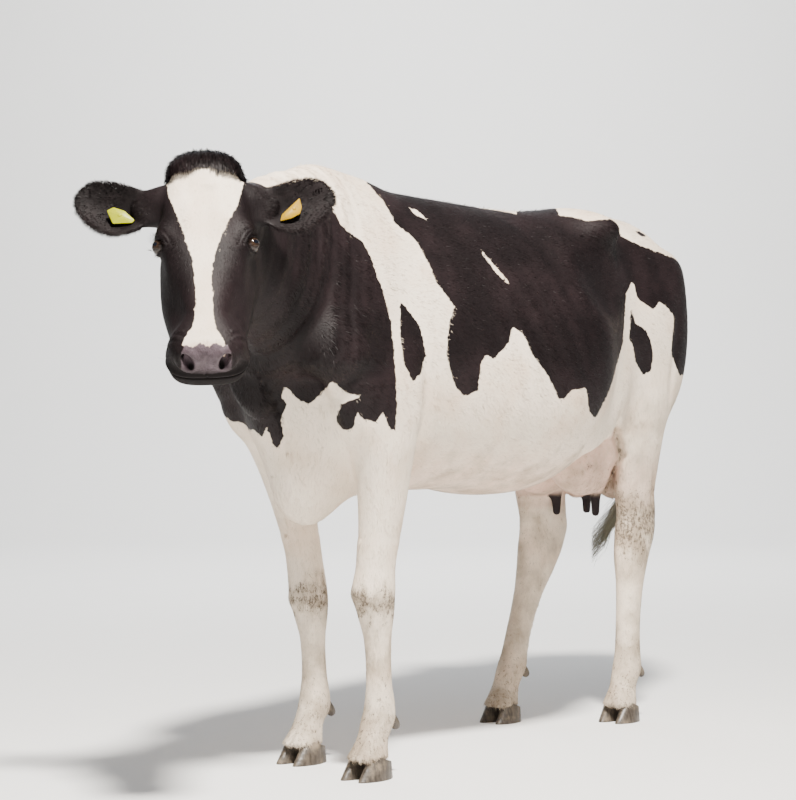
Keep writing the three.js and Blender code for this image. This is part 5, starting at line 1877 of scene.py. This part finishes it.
def topknot():
    """Longer hair over the poll that falls forwards on the forehead."""
    u, v, w = u_mid, v_mid, w_mid
    weight = open_skin * (u < -10) * (np.abs(v) < 78) * (w > -115) * (u > -80)
    roots, normals, numbers = scatter(9000, weight)
    _, across, _ = in_head(roots)
    ways = HEAD_DOWN + 0.5 * HEAD_OUT + np.outer(across / 300, HEAD_LEFT)
    ways = ways + 0.13 * RNG.normal(size=roots.shape)
    ways = laid_flat(ways, normals)
    down = in_head(roots)[0]
    lengths = RNG.uniform(24, 38, len(roots)) * (1 - 0.3 * (across / 80) ** 2)
    lengths *= 1 - 0.6 * hill(across, 0, 22) * bump_up(down, -42, -16)
    numbers["dark"] = np.full(len(roots), 3.0)
    coat_piece(
        "coat_topknot", roots, normals, ways, lengths, RNG.uniform(1.2, 2.6, len(roots)),
        RNG.uniform(1.0, 1.3, len(roots)), RNG.uniform(1.0, 1.25, len(roots)),
        hair_numbers(roots, numbers, 0), HAIR, 4, soft=0.15,
    )


def all_black(count):
    """The skin's numbers under hair that is black throughout."""
    return {"dark": np.full(count, 3.0), **{key: np.zeros(count) for key in ("pink", "mud_and_crease_shade", "shade")}}


def ear_fringe():
    """Longer hair round the rim of the ears."""
    roots, normals, ways, numbers = [], [], [], []
    for ear in EARS.values():
        for lift, count in ((-1, 2600), (1, 2000)):
            t = RNG.uniform(45, 184, count)
            across = lift * RNG.uniform(0.86, 1.0, count)
            place = ear.point(t, across, RNG.uniform(-2, 2, count))
            out = np.outer(np.full(count, 0.75), ear.a) + lift * ear.b + 0.25 * RNG.normal(size=(count, 3))
            roots.append(place)
            normals.append(np.tile(ear.c, (count, 1)) + 0.3 * RNG.normal(size=(count, 3)))
            ways.append(out)
            numbers.append(np.full(count, 1.0 if lift < 0 else 0.55))
    roots, normals, ways = (np.concatenate(k) for k in (roots, normals, ways))
    normals = unit_rows(normals)
    ways = laid_flat(ways, normals)
    count = len(roots)
    flat = all_black(count)
    coat_piece(
        "coat_ear_fringe", roots, normals, ways, RNG.uniform(5, 17, count) * np.concatenate(numbers),
        RNG.uniform(0.4, 0.8, count),
        RNG.uniform(-0.1, 0.2, count), RNG.uniform(-0.1, 0.2, count), hair_numbers(roots, flat, 0), HAIR, 3,
    )


def lashes():
    roots, normals, ways, lengths = [], [], [], []
    for side in (1, -1):
        out, along, across = eye_ways(side)
        for upper, count, reach in ((1, 90, 20.0), (-1, 40, 11.0)):
            a = np.linspace(-0.85, 0.85, count) * LID_LENGTH + RNG.normal(size=count) * 0.4
            height = LID_HEIGHT * (1.05 if upper > 0 else 0.9)
            b = -upper * (height * (1 - (a / LID_LENGTH) ** 2) + 1.2)
            c = np.sqrt(np.maximum(21.5**2 - a * a - b * b, 4))
            roots.append(eye_centre(side) + np.outer(a, along) + np.outer(b, across) + np.outer(c, out))
            lean = out * 0.8 + np.outer(a / 40, along) - upper * 0.15 * across
            ways.append(lean + 0.1 * RNG.normal(size=(count, 3)))
            normals.append(np.tile(-upper * across, (count, 1)))
            lengths.append(RNG.uniform(0.7, 1.1, count) * reach)
    roots, normals, ways, lengths = (np.concatenate(k) for k in (roots, normals, ways, lengths))
    ways = laid_flat(ways, normals)
    count = len(roots)
    flat = all_black(count)
    coat_piece(
        "coat_lashes", roots, normals, ways, lengths, RNG.uniform(0.5, 0.9, count),
        np.full(count, -0.25), np.full(count, -0.55), hair_numbers(roots, flat, 0), HAIR, 5,
    )


def whiskers():
    """Sparse stiff hair on the lips and chin."""
    weight = open_skin * (u_mid > 385) * (w_mid > -170) * (np.abs(v_mid) < 110) * (np.abs(v_mid) > 30)
    roots, normals, numbers = scatter(70, weight)
    ways = normals + 0.5 * HEAD_DOWN + 0.3 * RNG.normal(size=roots.shape)
    side = np.cross(normals, ways) + 1e-3
    side = unit_rows(side)
    face = np.cross(ways, side)
    face = unit_rows(face)
    ways = unit_rows(ways)
    numbers["dark"] = np.full(70, 3.0)
    coat_piece(
        "coat_whiskers", roots, face, ways, RNG.uniform(14, 34, 70), np.full(70, 0.27),
        np.zeros(70), RNG.uniform(-0.3, 0.3, 70), hair_numbers(roots, numbers, 0), HAIR, 4,
    )


SWITCH_TIP = np.array([-122.0, 874.0, 448.0])


def switch_material():
    n = Nodes("switch_hair")
    tone = n.attribute("tone")
    colour = n.mix(tone, (0.030, 0.026, 0.020), (0.26, 0.23, 0.17))
    colour = n.mix(n.ramp(n.noise(14, 4), 0.4, 0.7), colour, (0.13, 0.125, 0.085))
    return n.finish(colour, 0.6, None, 0.4)


def switch_hair():
    """The long wavy hair at the end of the tail."""
    count, parts = (420), 12
    tail = curve_table([(i, *s) for i, s in enumerate(TAIL)], 200)
    at = (199 * RNG.uniform(0.76, 0.995, count)).astype(int)
    roots = tail[at, 1:4]
    lock = RNG.integers(0, 5, count)
    turn = lock * 2 * math.pi / 5 + 0.25 * RNG.normal(size=count)
    ring = np.stack([np.cos(turn), np.sin(turn), np.zeros(count)], 1)
    roots = roots + ring * (tail[at, 4] * 0.5)[:, None]
    ends = SWITCH_TIP + ring * RNG.uniform(1, 4, (count, 1)) + RNG.normal(size=(count, 3)) * [1.5, 1.5, 18]
    ends[:, 2] += 0.35 * (roots[:, 2] - 590)
    bend = (roots + ends) / 2 + ring * 2 + np.array([14.0, 10.0, -10.0])
    phase, swing = lock * 2.1 + 0.2 * RNG.normal(size=count), RNG.uniform(5, 6, count)
    points, shares = [], []
    for k in range(parts + 1):
        t = k / parts
        centre = roots * (1 - t) ** 2 + bend * 2 * t * (1 - t) + ends * t * t
        sway = np.sin(5.2 * t * math.pi + phase) * swing * t
        centre = centre + np.stack([sway, 0.6 * sway, 0 * sway], 1)
        half = RNG.uniform(0.7, 1.3, count) * (1 - 0.75 * t)
        across = np.cross(ring, [0.0, 0.0, 1.0])
        points += [centre - across * half[:, None], centre + across * half[:, None]]
        shares += [t, t]
    each = len(points)
    vertices = np.stack(points, 1).reshape(-1, 3)
    pattern = []
    for k in range(parts):
        a = 2 * k
        pattern += [(a, a + 1, a + 3), (a, a + 3, a + 2)]
    faces = (np.arange(count)[:, None, None] * each + np.array(pattern)[None]).reshape(-1, 3)
    corners = vertices[faces[0]]
    front = np.dot(np.cross(corners[1] - corners[0], corners[2] - corners[0]), ring[0]) > 0
    faces = faces if front else faces[:, ::-1]
    corner = np.tile(np.linspace(0, 2 * math.pi, each, endpoint=False), count)
    uv = np.repeat(unwrap(roots), each, axis=0) + 0.0015 * np.stack([np.cos(corner), np.sin(corner)], 1)
    numbers = {"tone": np.repeat(RNG.random(count), each), "along": np.tile(np.array(shares), count)}
    piece = mesh_object(
        "coat_switch", vertices, faces, switch_material(), numbers, np.repeat(ring, each, axis=0), uv
    )
    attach(piece, "root")


spine()
topknot()
ear_fringe()
lashes()
whiskers()
switch_hair()

# ---------------------------------------------------------------- stage and light
def plain_material(name, colour, rough):
    n = Nodes(name)
    tone = n.mix(n.ramp(n.noise(3, 2), 0.3, 0.7, 0.0, 0.12), colour, tuple(c * 0.94 for c in colour))
    return n.finish(tone, rough, None, 0.2)


def add_stage():
    bm = bmesh.new()
    size, back, rise = 16.0, 9.0, 7.0
    profile = [(-size, 0.0), (back, 0.0)]
    for k in range(1, 13):
        turn = math.pi / 2 * k / 12
        profile.append((back + 4 * math.sin(turn), 4 - 4 * math.cos(turn)))
    profile.append((back + 4, rise))
    rows = []
    away = math.radians(CAMERA_AZIMUTH)
    for depth, height in profile:
        row = []
        for across in (-size, size):
            x = across * math.cos(away) - depth * math.sin(away)
            y = across * math.sin(away) + depth * math.cos(away)
            row.append(bm.verts.new((x, y, height)))
        rows.append(row)
    for a, b in zip(rows, rows[1:]):
        bm.faces.new((a[0], a[1], b[1], b[0]))
    mesh = bpy.data.meshes.new("stage_floor")
    bm.to_mesh(mesh)
    bm.free()
    mesh.polygons.foreach_set("use_smooth", [True] * len(mesh.polygons))
    mesh.materials.append(plain_material("stage_pale", (0.88, 0.88, 0.87), 0.9))
    floor = bpy.data.objects.new("stage_floor", mesh)
    bpy.context.scene.collection.objects.link(floor)


def add_light(name, at, aim, size, power, colour):
    data = bpy.data.lights.new(name, "AREA")
    data.shape = "DISK"
    data.size = size
    data.energy = power
    data.color = colour
    lamp = bpy.data.objects.new(name, data)
    lamp.location = at
    lamp.rotation_euler = (Vector(aim) - Vector(at)).to_track_quat("-Z", "Y").to_euler()
    bpy.context.scene.collection.objects.link(lamp)


add_stage()
add_light("light_key", (2.6, -2.4, 6.0), (0.1, -0.1, 0.8), 0.8, 1600, (1.0, 0.95, 0.88))
add_light("light_front", (3.6, -5.0, 2.4), (0.1, -0.3, 0.9), 3.5, 25, (0.95, 0.97, 1.0))
add_light("light_back", (-3.6, 2.6, 4.2), (0, 0.2, 1.0), 3.0, 110, (0.93, 0.96, 1.0))
add_light("light_wall", (-3.5, 5.0, 6.5), (-7.5, 9.5, 1.5), 5.0, 1100, (1.0, 1.0, 1.0))
world = bpy.data.worlds.new("studio")
world.use_nodes = True
world.node_tree.nodes["Background"].inputs["Color"].default_value = (0.90, 0.94, 1.0, 1)
world.node_tree.nodes["Background"].inputs["Strength"].default_value = 0.20
bpy.context.scene.world = world
